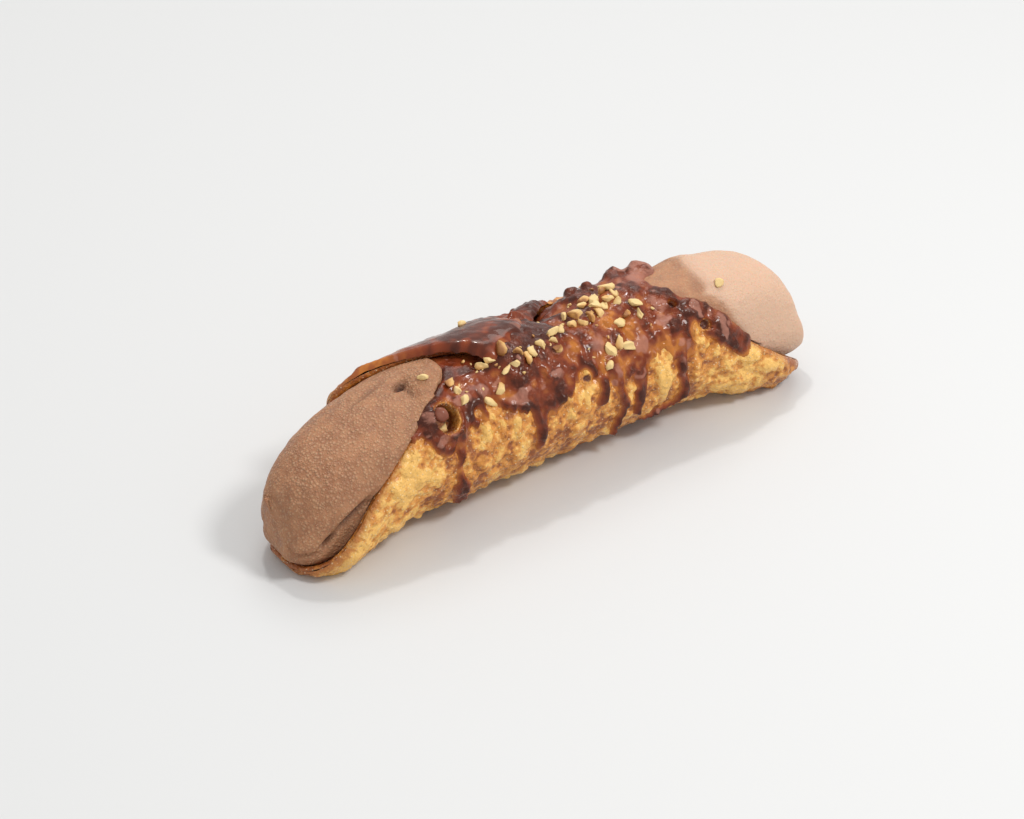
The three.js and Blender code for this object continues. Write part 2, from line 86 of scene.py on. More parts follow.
def bell(value, centre, width):
    return np.exp(-(((value - centre) / width) ** 2))


# the same simple sequence as the solid's, so that blisters and nuts fall in the same places
def seededDraw(seed):
    state = seed
    while True:
        state = (state * 1664525 + 1013904223) % 4294967296
        yield state / 4294967296


def onArc(degrees, radius=roll["radius"]):
    return np.radians(degrees) * radius


def arcDegrees(length):
    return np.degrees(length / roll["radius"])


def aroundAxis(x, angle, radius):
    turn = np.radians(angle)
    x, turn, radius = np.broadcast_arrays(x, turn, radius)
    return np.stack([x, -radius * np.sin(turn), roll["axisHeight"] - radius * np.cos(turn)], -1)


def rimReach(side, angle):
    climb = np.abs(angle)

    def reach(half):
        tip, lower, upper = rims[(side, half)]
        reached = tip - lower[0] * smooth(climb, *lower[1:])
        return reached - upper[0] * smooth(climb, *upper[1:])

    reached = np.where(np.asarray(angle) < 0, reach("back"), reach("front"))
    by, low, high = rightRimReturns
    return reached + (by * smooth(angle, low, high) if side == "right" else 0)


def seamSkew(x):
    return roll["skew"]["turn"] * smooth(x, *roll["skew"]["x"])


def seamAngle(x):
    return roll["outerEdge"] + 360 + seamSkew(x)


def offTheFloor(angle):
    return smooth(np.abs(angle), *roll["flatUnder"])


def flareAt(angle, x):
    amount = np.where(x < 0, flare["left"], flare["right"])
    amount = amount * mix(flare["back"], 1, smooth(angle, *flare["frontFrom"]))
    reach = np.abs(x)
    turnsIn = flare["tipTurnsIn"] * smooth(reach, *flare["tipReach"])
    spread = bell(np.abs(angle), flare["angle"], flare["spread"])
    return amount * smooth(reach, *flare["reach"]) * spread - turnsIn


def pastryRadius(angle, x):
    wave, tuck, lift, sag = roll["wave"], roll["tuck"], roll["lift"], roll["sag"]
    around = np.cos(np.radians(wave["perTurn"] * angle) + wave["turned"])
    waves = wave["height"] * np.sin(x / wave["length"] + wave["shift"]) * around * offTheFloor(angle)
    tucked = tuck["depth"] * smooth(angle - seamAngle(x), *tuck["past"])
    lifted = lift["height"] * smooth(-angle, *lift["climb"]) * smooth(-x, *lift["x"])
    polar = np.where(angle < -90, angle + 360, angle)
    sunk = sag["depth"] * bell(x, sag["x"], sag["length"]) * bell(polar, sag["polar"], sag["turn"])
    spiral = roll["radius"] - roll["lostPerDegree"] * angle
    return spiral - tucked + lifted - sunk + waves + flareAt(angle, x)


def innerFace(angle, x):
    return pastryRadius(angle, x) - roll["thickness"]


print("cannolo: blisters and crust")

crust = {
    # sizes are half widths, and ratios are heights to them
    "big": {"count": 190, "seed": 41, "x": (-74, 74), "angle": (-190, 160), "size": (4.4, 1.9),
            "ratio": 0.34},
    "small": {"count": 6500, "seed": 12, "x": (-78, 78), "angle": (-195, 175), "size": (1.7, 0.5),
              "ratio": 0.46, "stretch": (0.8, 1.6), "power": 1.2},
    "tall": {"count": 170, "seed": 33, "x": (-66, 68), "angle": (24, 122), "size": (0.7, 1.4),
             "halfAround": (1.6, 4.2), "height": 0.75, "power": 1.1},
    # crisp bubbles crowd some areas: x from and to, angle from and to, how many
    "crisp": {"seed": 35, "areas": [((38, 70), (62, 128), 420), ((-62, -34), (48, 108), 160),
                                    ((-30, 36), (60, 100), 260)],
              "size": (0.5, 1.15), "stretch": 1.1, "ratio": 0.5, "power": 0.8},
    "rough": [(3.2, 0.24, 5), (1.5, 0.2, 6), (0.8, 0.16, 7)],  # cell, height, seed
    "ridgePower": 0.8,
    "patches": [(0.6, 9, 21), (0.4, 4, 22)],  # broad browner and paler areas: share, cell, seed
    "unevenHeight": (0.5, 1),
    "openingWall": (0.72, 1.02),  # shares of the mouth's width where an opening's wall stands
    "overlap": 20,  # an opening this near the outer flap, in degrees, is in that flap
    "covered": (-10, -3),  # degrees from the seam where the relief ends under the outer flap
    # long blisters: x, angle, half width, half height, how far they stand out
    "ridges": [
        (-7.3, 128, 1.3, 3.2, 0.9), (-6.6, 151, 2.4, 2.2, 0.8), (-2.9, 138, 1.4, 3.6, 0.9),
        (7.3, 148, 1.6, 3, 1.1), (12.4, 153, 1.5, 3.2, 1.0), (14.2, 141, 1.3, 2.4, 0.9),
        (17, 117, 1.4, 4.2, 1.0), (31, 121, 2.1, 6, 1.3), (26.4, 113, 1.8, 3.4, 1.0),
        (39.6, 124, 1.6, 5.5, 1.1), (22.4, 138, 1.4, 3, 0.8), (25.2, 135, 1.2, 3, 0.9),
        (28.6, 94, 2.5, 7.5, 1.5), (29, 131, 1.3, 2.4, 1.0), (7.3, 119, 1.3, 3, 0.9),
        (-22.2, 112, 1.5, 4.5, 1.1), (-17.8, 107, 1.1, 3.5, 1.0), (-13.9, 105, 1.0, 4.2, 1.0),
        (1.6, 99, 1.4, 4.5, 1.0), (6.1, 101, 1.3, 3.5, 0.9), (-9.4, 127, 1.4, 3, 1.0),
        (-41, 96, 3.2, 3.4, 1.1), (-47.6, 94, 2.4, 3, 1.0), (-38.6, 112, 1.7, 2.2, 0.9),
        (-44.5, 107, 2.6, 2, 0.7), (-36.5, 88, 2.2, 3, 0.9), (-27.6, 77, 1.6, 3.2, 0.7),
        (-24, 84, 2.4, 3, 1.0), (18.3, 97, 1.2, 5, 0.9), (60.5, 73, 5, 2.2, 1.1),
        (46.5, 61, 3.2, 2.6, 1.0), (52.3, 64, 3.4, 1.8, 0.8), (38.9, 86, 1.8, 3.4, 1.1),
        (41.2, 107, 1.8, 3, 1.0), (45.3, 97, 2.2, 2.6, 0.9), (-60, 58, 4, 2.6, 0.7),
        (4, 74, 2.4, 4, 0.9), (-14, 78, 2.2, 4.4, 0.8), (66, 62, 4, 2, 0.8), (54, 84, 3.4, 1.8, 0.9),
        (-24.3, 153, 1.5, 2.6, 0.7), (24, 176, 2.2, 2.6, 0.9),
    ],
}

mapStep = {"angle": 0.8, "x": 0.24}
mapAngles = np.arange(-202, 270, mapStep["angle"])
mapXs = np.arange(-81, 81, mapStep["x"])


# smooth random heights on a lattice with cells of the given size in mm
def latticeNoise(cell, seed):
    rows = int(onArc(mapAngles[-1] - mapAngles[0]) / cell) + 3
    columns = int((mapXs[-1] - mapXs[0]) / cell) + 3
    lattice = np.random.default_rng(seed).uniform(-1, 1, (rows, columns))
    v = onArc(mapAngles - mapAngles[0]) / cell
    u = (mapXs - mapXs[0]) / cell
    j, i = v.astype(int), u.astype(int)
    fv, fu = smooth(v - j, 0, 1)[:, None], smooth(u - i, 0, 1)[None, :]
    low = mix(lattice[j][:, i], lattice[j][:, i + 1], fu)
    high = mix(lattice[j + 1][:, i], lattice[j + 1][:, i + 1], fu)
    return mix(low, high, fv)


def stamp(target, x, angle, halfX, halfAround, height, power=2.0):
    reachRows = arcDegrees(halfAround) / mapStep["angle"]
    reachColumns = halfX / mapStep["x"]
    row, column = (angle - mapAngles[0]) / mapStep["angle"], (x - mapXs[0]) / mapStep["x"]
    j0, j1 = max(int(row - reachRows), 0), min(int(row + reachRows) + 2, len(mapAngles))
    i0, i1 = max(int(column - reachColumns), 0), min(int(column + reachColumns) + 2, len(mapXs))
    if j0 >= j1 or i0 >= i1:
        return
    across = (mapXs[None, i0:i1] - x) / halfX
    around = onArc(mapAngles[j0:j1, None] - angle) / halfAround
    rise = height * np.clip(1 - across ** 2 - around ** 2, 0, 1) ** power
    target[j0:j1, i0:i1] = np.maximum(target[j0:j1, i0:i1], rise)


# round blisters, the largest first; only the small ones are stretched round the roll
def roundBlisters(target, b):
    draw = seededDraw(b["seed"])
    for k in range(b["count"]):
        size = mix(*b["size"], math.sqrt(k / b["count"]))
        x, angle = mix(*b["x"], next(draw)), mix(*b["angle"], next(draw))
        halfAround = size * mix(*b["stretch"], next(draw)) if "stretch" in b else size
        height = size * b["ratio"] * mix(*crust["unevenHeight"], next(draw))
        stamp(target, x, angle, size, halfAround, height, b.get("power", 2.0))


def tallBlisters(target, b):
    rng = np.random.default_rng(b["seed"])
    for _ in range(b["count"]):
        spans = (b["x"], b["angle"], b["size"], b["halfAround"], crust["unevenHeight"])
        x, angle, halfX, halfAround, share = [rng.uniform(*span) for span in spans]
        stamp(target, x, angle, halfX, halfAround, b["height"] * share, b["power"])


def crispBubbles(target, b):
    rng = np.random.default_rng(b["seed"])
    for spanX, spanAngle, count in b["areas"]:
        for _ in range(count):
            size, x, angle = [rng.uniform(*span) for span in (b["size"], spanX, spanAngle)]
            stamp(target, x, angle, size, size * b["stretch"], size * b["ratio"], b["power"])


blisterMap = np.zeros((len(mapAngles), len(mapXs)))
smallMap = np.zeros_like(blisterMap)
roundBlisters(blisterMap, crust["big"])
for ridge in crust["ridges"]:
    stamp(blisterMap, *ridge, crust["ridgePower"])
tallBlisters(smallMap, crust["tall"])
crispBubbles(smallMap, crust["crisp"])
roundBlisters(smallMap, crust["small"])
roughMap = sum(height * latticeNoise(cell, seed) for cell, height, seed in crust["rough"])
patchMap = sum(share * latticeNoise(cell, seed) for share, cell, seed in crust["patches"])


def lookUp(field, angle, x):
    v = np.clip((angle - mapAngles[0]) / mapStep["angle"], 0, len(mapAngles) - 1.001)
    u = np.clip((x - mapXs[0]) / mapStep["x"], 0, len(mapXs) - 1.001)
    j, i = v.astype(int), u.astype(int)
    low = mix(field[j, i], field[j, i + 1], u - i)
    high = mix(field[j + 1, i], field[j + 1, i + 1], u - i)
    return mix(low, high, v - j)


# a burst blister with an open mouth, and smaller broken places: x, angle, half width and half height
# of the mouth, how far out the skin swells round it, height and depth
openings = {
    "crater": (-31.4, 132, 3.0, 3.5, 1.4, 1.5, 2.4),
    "broken": (3.6, 191, 2.6, 1.6, 1.3, 0.4, 1.7),
    "bubble": (36.9, 148, 1.15, 1.1, 1.5, 0.4, 0.9),
    "pit": (42.9, 122, 1.3, 1.3, 1.4, 0.2, 1.1),
    "chip": (7, 119, 0.8, 0.9, 1.5, 0.2, 0.6),
}


# how far a place is from the mouth's middle, 1 at its rim, and how the skin rises and drops there
def openingAt(angle, x, opening):
    middle, polar, halfX, halfAround, swell, height, depth = opening
    away = np.hypot((x - middle) / halfX, onArc(angle - polar) / halfAround)
    rise = np.where(away > 1, height * bell(away, 1.0, swell - 1), height)
    return away, rise - (height + depth) * (1 - smooth(away, *crust["openingWall"]))


def nearOpenings(angle, x):
    for name, opening in openings.items():
        nearOnFlap = np.abs(angle + 360 - opening[1]) < crust["overlap"]
        yield name, openingAt(angle + np.where(nearOnFlap, 360, 0), x, opening)


def uncovered(angle, x):
    return 1 - smooth(angle - seamAngle(x), *crust["covered"])


def skinRelief(angle, x):
    return lookUp(blisterMap, angle, x) + lookUp(smallMap, angle, x) + lookUp(roughMap, angle, x)


def crustRelief(angle, x):
    height = skinRelief(angle, x)
    for _, (_, change) in nearOpenings(angle, x):
        height = height + change
    return height * uncovered(angle, x) * offTheFloor(angle)


glaze = {
    "thickness": 1.0,
    "thinOnLip": 0.3,
    "moreOnFlap": 0.4,
    "roundBorder": 0.75,  # mm in from the outline until it is at full height
    "bead": (0.45, 1.3, 0.9),  # raised line inside the outline: height, how far in, width
    "film": 0.12,  # thinnest where it covers
    "hidden": -0.45,  # where there is none, its skin lies in the pastry
    "feather": 0.5,
    "ragged": [(0.5, 1.9, 0.6), (0.35, 3.7, 0)],
    "joins": 1.3,  # how softly runs grow out of the edge
    "backAngle": 236,  # how far down the back it runs, and how much that varies along the roll
    "backWaves": [(6, 5.0, 0), (3.5, 2.1, 1), (1.5, 0.8, 2)],
    "fillsOver": (0.64, 0.97),  # share of the skin's relief that it levels out, and on the flap's top
    "wavesWithPatches": 0.35,
    # the thin lip at the outer flap's left end, and the flap's edge in front
    "lip": {"angle": (120, 150), "x": (18, 30), "rimWidth": 4.5, "awayFromRim": 0.3, "edgeWidth": 1.6,
            "edgeX": (6, 12)},
    "flapTop": {"angle": (130, 145), "x": (-6, 4), "evened": 0.8},
    "overOpening": {"sunk": -0.4, "rim": (0.98, 1.12)},
    "deepest": 1.3,  # its tone gets no darker above this thickness
    "lumpTone": 1.1,
    # under the outer flap, in degrees past the seam
    "pastSeam": {"thickness": 0.4, "reach": (13, 40), "x": (10, 14)},
    "kept": {"above": -0.3, "angle": 245},
    "wrinkles": {"least": 0.45, "patches": (-0.3, 0.3), "onTop": 0.16, "onLip": 0.5},
    "seamFillet": {"height": 2.4, "width": 7, "underFlap": 1.6, "from": (-18, -11), "to": (4, 8),
                   "flapFrom": -120},
    "pooling": 0.85,  # how unevenly it gathers from spot to spot
    "sheen": (0.7, 0.2, 0.7),  # pale patches of dull skin and painted sheen between the listed ones: how much, noise from and to
    "pools": [(0.7, 3.2, 51), (0.35, 1.4, 52)],  # share, cell, seed
    "sheens": [(0.7, 3.4, 61), (0.5, 1.3, 62)],
    "edge": [(-46, 128), (-38.2, 124), (-36.5, 114.5), (-32, 114.5), (-26, 117), (-22, 117), (-18.5, 129),
             (-15.4, 119), (-12, 112.5), (-8, 110), (-2, 107), (2, 110), (5.5, 120), (10, 116), (15, 110),
             (20.5, 104), (23.6, 104), (25.5, 112), (29.5, 116), (32, 104), (36, 102), (38.4, 111),
             (40.6, 118), (43.4, 108), (47, 98), (51.4, 88), (53.5, 91), (56, 96)],
    # runs: points as x, angle, half width
    "runs": [
        [(-27.9, 121, 1.7), (-29.4, 106, 1.3), (-30.6, 90, 0.9), (-30.3, 79, 1.0), (-29.8, 70, 2.3),
         (-29.0, 58, 2.2), (-28.2, 49, 2.2)],
        [(-33.5, 118, 3.2), (-33.2, 113, 3)],
        [(-6.9, 112, 2.6), (-7.2, 95, 1.8), (-7.6, 76, 1.3)],
        [(11.6, 118, 1.8), (11.2, 106, 1.7), (10.2, 96, 1.7)],
        [(15.5, 115, 2), (15.6, 99, 1.6), (17.1, 83, 1.3), (16.2, 68, 1.3), (15.4, 54, 1.3)],
        [(22.5, 108, 2.2), (21.8, 88, 1.7), (21.3, 70, 1.3)],
        [(33.8, 106, 1.7), (34.4, 90, 1.7), (35.4, 72, 1.6), (33, 60, 1.1), (28.7, 58, 1.0), (24.6, 55, 1.3)],
        [(41.4, 140, 1.5), (43.8, 124, 1.8), (48, 105, 2.0), (52, 92, 1.8)],
        [(-3, 109, 1.6), (-3.2, 104, 1.3)],
        [(37.6, 110, 1.0), (37.5, 103, 0.9)],
    ],
    # places inside where the pastry stays bare: x, angle, half width, half height
    "bare": [(-18.9, 127, 1.5, 2.2), (40.2, 117.5, 1.6, 2.6), (6.6, 120, 1.5, 1.6), (-22.9, 126, 0.9, 1.1)],
    # pale, dull skin with a painted sheen on the thicker pools: x, angle, half width, half height
    "hazeAndSheen": [(13.2, 139, 3.2, 3), (15.8, 114, 1.8, 2.6), (24.5, 126, 2, 3), (33, 155, 3, 4),
             (32.3, 138, 2, 2), (-13.5, 125, 2.4, 1.8), (-10.6, 128, 1.6, 1.4), (-20.1, 141, 2, 2.4),
             (42.4, 134, 1.2, 4), (47, 116, 1.2, 5), (-34.5, 117, 2.4, 1.4), (37.7, 194, 3, 4),
             (34.3, 186, 2.4, 3), (3, 147, 2, 1.2), (-15.5, 140, 1.2, 2), (36.6, 112, 1, 1.6),
             (-27.7, 112, 1, 3), (-1.2, 132, 1.4, 1.2), (-24, 141, 1.2, 1.6)],
    # crusty lumps, and a flake that stands on edge by the broken place: x, angle, halves, height, power
    "lumps": [(1.4, -159, 1.9, 0.6, 1.8, 0.5), (20.6, 212, 2.1, 1.7, 1.7, 0.7), (24, 205, 1.5, 1.3, 1.5, 0.7),
              (39.4, 208, 5.2, 4.2, 1.3, 1.7), (33.4, 211, 3.4, 2.8, 1.8, 1.4)],
}

poolMap = sum(share * latticeNoise(cell, seed) for share, cell, seed in glaze["pools"])
sheenMap = sum(share * latticeNoise(cell, seed) for share, cell, seed in glaze["sheens"])
lumpMap = np.zeros_like(blisterMap)
for lump in glaze["lumps"]:
    stamp(lumpMap, *lump)


def alongOutline(points, x):
    xs = np.array([p[0] for p in points], float)
    values = np.array([p[1] for p in points], float)
    k = np.clip(np.searchsorted(xs, x) - 1, 0, len(xs) - 2)
    t = np.clip((x - xs[k]) / (xs[k + 1] - xs[k]), 0, 1)
    return mix(values[k], values[k + 1], t * t * (3 - 2 * t))


def smoothLow(a, b, soft):
    h = np.clip(0.5 + 0.5 * (b - a) / soft, 0, 1)
    return mix(b, a, h) - soft * h * (1 - h)


def awayFromRun(points, polar, x):
    nearest = np.full(np.shape(x), 99.0)
    for (xa, aa, wa), (xb, ab, wb) in zip(points[:-1], points[1:]):
        start = np.array([xa, onArc(aa)])
        step = np.array([xb, onArc(ab)]) - start
        dx, dy = x - start[0], onArc(polar) - start[1]
        t = np.clip((dx * step[0] + dy * step[1]) / (step @ step), 0, 1)
        gap = np.hypot(dx - t * step[0], dy - t * step[1]) - mix(wa, wb, t)
        nearest = np.minimum(nearest, gap)
    return nearest


# distance to the glaze's outline in mm: negative where there is glaze
def awayFromGlaze(polar, x):
    edge = alongOutline(glaze["edge"], x)
    step = 0.4
    slope = onArc(alongOutline(glaze["edge"], x + step) - edge) / step
    ragged = sum(depth * np.sin(x * rate + shift) for depth, rate, shift in glaze["ragged"])
    front = (onArc(edge - polar) + ragged) / np.sqrt(1 + slope ** 2)
    waves = sum(rise * np.sin(x / length + shift) for rise, length, shift in glaze["backWaves"])
    back = onArc(polar - glaze["backAngle"] - waves)
    away = np.maximum(front, back)
    for points in glaze["runs"]:
        away = smoothLow(away, awayFromRun(points, polar, x), glaze["joins"])
    for bx, angle, halfX, halfAround in glaze["bare"]:
        hole = (1 - np.hypot((x - bx) / halfX, onArc(polar - angle) / halfAround)) * min(halfX, halfAround)
        away = np.maximum(away, hole)
    return away


# the angle as seen from the axis
def polarOf(angle):
    return np.where(angle < roll["backFrom"], angle + 360, angle)


def onFlapLip(angle, x):
    lip = glaze["lip"]
    nearRim = mix(lip["awayFromRim"], 1, bell(x + rimReach("left", angle), 0, lip["rimWidth"]))
    thin = smooth(-angle, *lip["angle"]) * smooth(-x, *lip["x"]) * nearRim
    edge = bell(onArc(angle - roll["outerEdge"]), 0, lip["edgeWidth"]) * smooth(-x, *lip["edgeX"])
    return np.maximum(thin, edge)


# the outer flap's top, where the glaze lies smooth
def onFlapTop(angle, x):
    return smooth(-angle, *glaze["flapTop"]["angle"]) * (1 - smooth(x, *glaze["flapTop"]["x"]))


# how high the glaze stands above the fried skin; below zero it is hidden in the pastry
def glazeAbove(angle, x):
    polar = polarOf(angle)
    away = awayFromGlaze(polar, x)
    inside = -away
    beadHeight, *bead = glaze["bead"]
    pool = 1 - np.exp(-np.clip(inside, 0, None) / glaze["roundBorder"]) + beadHeight * bell(inside, *bead)
    even = onFlapTop(angle, x)
    uneven = glaze["wavesWithPatches"] * lookUp(patchMap, angle, x)
    uneven = uneven + glaze["pooling"] * lookUp(poolMap, angle, x)
    ripple = 1 + uneven * (1 - glaze["flapTop"]["evened"] * even)
    fillet = glaze["seamFillet"]
    toSeam = onArc(seamAngle(x) - angle)
    bridge = fillet["height"] * bell(toSeam, 0, np.where(toSeam > 0, fillet["width"], fillet["underFlap"]))
    bridge = bridge * smooth(x, *fillet["from"]) * (1 - smooth(x, *fillet["to"]))
    lip = onFlapLip(angle, x)
    thick = glaze["thickness"] * pool * ripple * (1 - glaze["thinOnLip"] * lip)
    fills = mix(*glaze["fillsOver"], even)
    thick = thick + np.where(angle > 0, bridge, 0) - fills * skinRelief(angle, x) * uncovered(angle, x)
    film = glaze["film"] * smooth(inside, 0, glaze["feather"])
    thick = thick + glaze["moreOnFlap"] * even * (1 - lip)
    covered = np.where(away < 0, np.maximum(thick, film), glaze["hidden"] * smooth(away, 0, glaze["feather"]))
    covered = covered + lookUp(lumpMap, angle, x)
    rim = glaze["overOpening"]["rim"]
    for _, (inMouth, _) in nearOpenings(angle, x):
        lowest = mix(glaze["overOpening"]["sunk"], glaze["film"], smooth(inMouth, *rim))
        covered = np.where(inMouth < rim[1], np.minimum(covered, lowest), covered)
    return covered


# how much pale dull skin and painted sheen each place gets
def hazeAndSheenAt(angle, x):
    polar = polarOf(angle)
    total = np.zeros(np.shape(x))
    for hx, centre, halfX, halfAround in glaze["hazeAndSheen"]:
        total = total + bell(x, hx, halfX) * bell(onArc(polar - centre), 0, halfAround)
    sheen, *noise = glaze["sheen"]
    return np.clip(total + sheen * smooth(lookUp(sheenMap, angle, x), *noise), 0, 1)


def toMetres(points):
    moved = np.asarray(points, float).reshape(-1, 3).copy()
    moved[:, 0] -= roll["middle"][0]
    moved[:, 1] -= roll["middle"][1]
    return moved * 0.001


def gridQuads(rows, columns, flipped=False, start=0, closed=False):
    j, i = np.meshgrid(np.arange(rows if closed else rows - 1), np.arange(columns - 1), indexing="ij")
    a = start + j * columns + i
    b = start + ((j + 1) % rows) * columns + i
    quads = np.stack([a, a + 1, b + 1, b], -1).reshape(-1, 4)
    return quads[:, ::-1] if flipped else quads


def buildPiece(name, points, faces, material, values=None):
    mesh = bpy.data.meshes.new(name)
    mesh.from_pydata(toMetres(points).tolist(), [], [list(map(int, face)) for face in faces])
    mesh.validate()
    mesh.update()
    for key, numbers in (values or {}).items():
        layer = mesh.attributes.new(key, "FLOAT", "POINT")
        layer.data.foreach_set("value", np.asarray(numbers, np.float32).ravel())
    mesh.shade_smooth()
    mesh.materials.append(material)
    piece = bpy.data.objects.new(name, mesh)
    bpy.context.scene.collection.objects.link(piece)
    return piece


def gridNormals(points):
    along = np.gradient(points, axis=1)
    around = np.gradient(points, axis=0)
    normal = np.cross(along, around)
    length = np.linalg.norm(normal, axis=-1, keepdims=True)
    return normal / np.maximum(length, 1e-9)


print("cannolo: materials")


def colour(red, green, blue):
    def linear(c):
        c = c / 255
        return c / 12.92 if c <= 0.04045 else ((c + 0.055) / 1.055) ** 2.4
    return (linear(red), linear(green), linear(blue), 1)


def addNode(tree, kind, inputs=None, **settings):
    node = tree.nodes.new(kind)
    for key, value in settings.items():
        setattr(node, key, value)
    for key, value in (inputs or {}).items():
        if isinstance(value, bpy.types.NodeSocket):
            tree.links.new(value, node.inputs[key])
        elif value is not None:
            node.inputs[key].default_value = value
    return node


# the helpers below work in the node tree that their socket belongs to
def maths(operation, a, b):
    tree = next(value for value in (a, b) if isinstance(value, bpy.types.NodeSocket)).id_data
    return addNode(tree, "ShaderNodeMath", {0: a, 1: b}, operation=operation).outputs[0]


def plus(a, b):
    return maths("ADD", a, b)


def minus(a, b):
    return maths("SUBTRACT", a, b)


def times(a, b):
    return maths("MULTIPLY", a, b)


def ranged(value, low, high, to=(0, 1)):
    limits = {"Value": value, "From Min": low, "From Max": high, "To Min": to[0], "To Max": to[1]}
    node = addNode(value.id_data, "ShaderNodeMapRange", limits, interpolation_type="SMOOTHSTEP")
    return node.outputs["Result"]


# tones that come in one after the other as a value grows; each has its span
def graded(value, steps):
    return [(ranged(value, *span), tone) for *span, tone in steps]


# colours laid over each other, each with the share that shows
def layered(base, layers):
    for share, tone in layers:
        mixer = addNode(share.id_data, "ShaderNodeMix", {0: share, 6: base, 7: tone}, data_type="RGBA")
        base = mixer.outputs[2]
    return base


def startGroup(name, inputs, outputs):
    group = bpy.data.node_groups.new(name, "ShaderNodeTree")
    group.interface.new_socket("Vector", in_out="INPUT", socket_type="NodeSocketVector")
    for label, value in inputs.items():
        socket = group.interface.new_socket(label, in_out="INPUT", socket_type="NodeSocketFloat")
        socket.default_value = value
    for label in outputs:
        group.interface.new_socket(label, in_out="OUTPUT", socket_type="NodeSocketFloat")
    return group, addNode(group, "NodeGroupInput").outputs, addNode(group, "NodeGroupOutput").inputs


# uneven fine surface: noise at two scales, with little domes between narrow valleys
def makeGrainGroup():
    group, given, out = startGroup("fineGrain", {"Scale": 400.0, "Coarse": 0.5, "Bubbles": 0.5},
                                   ["Height", "Mottle", "Domes"])
    place, scale = given["Vector"], given["Scale"]
    fine = addNode(group, "ShaderNodeTexNoise", {
        "Vector": place, "Scale": scale, "Detail": 3.0, "Roughness": 0.6}).outputs["Fac"]
    broad = addNode(group, "ShaderNodeTexNoise", {
        "Vector": place, "Scale": times(scale, 0.28), "Detail": 2.0}).outputs["Fac"]
    cells = addNode(group, "ShaderNodeTexVoronoi", {
        "Vector": place, "Scale": times(scale, 0.8)}, feature="SMOOTH_F1")
    domes = minus(1.0, cells.outputs["Distance"])
    height = plus(plus(fine, times(broad, given["Coarse"])), times(domes, given["Bubbles"]))
    for label, value in (("Height", height), ("Mottle", broad), ("Domes", domes)):
        group.links.new(value, out[label])
    return group


# round dots scattered over a surface, some of them left out
def makeSpeckleGroup():
    group, given, out = startGroup("speckles", {"Scale": 900.0, "Size": 0.35, "Share": 0.5}, ["Mask"])
    cells = addNode(group, "ShaderNodeTexVoronoi", {"Vector": given["Vector"], "Scale": given["Scale"]})
    inDot = minus(1.0, ranged(cells.outputs["Distance"], 0.0, given["Size"]))
    chosen = maths("LESS_THAN", cells.outputs["Color"], given["Share"])
    group.links.new(times(inDot, chosen), out["Mask"])
    return group


grainGroup, speckleGroup = makeGrainGroup(), makeSpeckleGroup()


def addEffect(group, place, values):
    inputs = dict(enumerate((place, *values)))
    return addNode(place.id_data, "ShaderNodeGroup", inputs, node_tree=group).outputs


def addGrain(place, values):
    return addEffect(grainGroup, place, values)


def addSpeckles(place, values):
    return addEffect(speckleGroup, place, values)["Mask"]


# how far a grain's broad tone is from its middle
def mottled(grain, amount):
    return times(minus(grain["Mottle"], 0.5), amount)


def startMaterial(name, shaderInputs):
    material = bpy.data.materials.new(name)
    material.use_nodes = True
    tree = material.node_tree
    tree.nodes.clear()
    shader = addNode(tree, "ShaderNodeBsdfPrincipled", shaderInputs)
    addNode(tree, "ShaderNodeOutputMaterial", {"Surface": shader.outputs["BSDF"]})
    return material, shader, addNode(tree, "ShaderNodeTexCoord").outputs["Object"]


# The recipe gets the finish, the place and the values stored on the mesh, and gives the base
# colour, the roughness and the heights. Each bump has its strength and its distance in metres.
def makeMaterial(name, finish, recipe, *stored):
    material, shader, place = startMaterial(name, finish["gloss"])
    tree, normal = material.node_tree, None
    values = [addNode(tree, "ShaderNodeAttribute", attribute_name=key).outputs["Fac"] for key in stored]
    base, roughness, heights = recipe(finish, place, *values)
    for height, (strength, distance) in zip(heights, finish["bumps"]):
        settings = {"Height": height, "Strength": strength, "Distance": distance, "Normal": normal}
        normal = addNode(tree, "ShaderNodeBump", settings).outputs["Normal"]
    for label, value in (("Base Color", base), ("Roughness", roughness), ("Normal", normal)):
        tree.links.new(value, shader.inputs[label])
    return material


friedFinish = {
    "pale": colour(250, 195, 104),
    "toasted": [(0.05, 0.55, colour(222, 147, 61)), (0.55, 1.15, colour(158, 86, 32))],
    "rim": [(0.15, 1.0, (0, 0.7), colour(164, 92, 36))],
    # painted highlight: small pale glints laid into the pastry's colour on the fizz dots
    "glint": (0.75, colour(252, 232, 186)),
    # painted shade: the dark tone laid into the openings' mouths and on the outer flap's underside
    "paintedShadeTone": colour(88, 34, 12),
    "roughness": (0.22, 0.46),
    "bumps": [(0.6, 0.0009), (0.65, 0.0003), (0.5, 0.0002)],
    "gloss": {"Specular IOR Level": 0.5, "Coat Weight": 0.22, "Coat Roughness": 0.14},
    # grains: scale, coarse, bubbles; dots: scale, size, share
    "grain": (900.0, 0.9, 0.6),
    "fine": (2300.0, 0.6, 1.0),
    "fizz": (1300.0, 0.36, 0.6),
    "mottle": 1.9,
    "freckles": 2.1,
}


def friedPastry(f, place, toastAndShadeValue, rim, hollow):
    grain, fine = addGrain(place, f["grain"]), addGrain(place, f["fine"])
    fizz = addSpeckles(place, f["fizz"])
    # browner valleys between the little domes: partly the frying's tone, partly painted shade
    valleys = ranged(grain["Domes"], 0.75, 0.45, (0, 0.1))
    spots = plus(valleys, mottled(fine, f["freckles"]))
    shade = plus(plus(toastAndShadeValue, mottled(grain, f["mottle"])), spots)
    # the fizz dots get painted glints in the base colour
    glint, paintedGlintTone = f["glint"]
    # the hollow value paints shade into the colour
    base = layered(f["pale"], graded(shade, f["toasted"]) + graded(rim, f["rim"])
                   + [(times(fizz, glint), paintedGlintTone), (hollow, f["paintedShadeTone"])])
    return base, ranged(grain["Mottle"], 0.3, 0.7, f["roughness"]), [grain["Height"], fine["Height"], fizz]


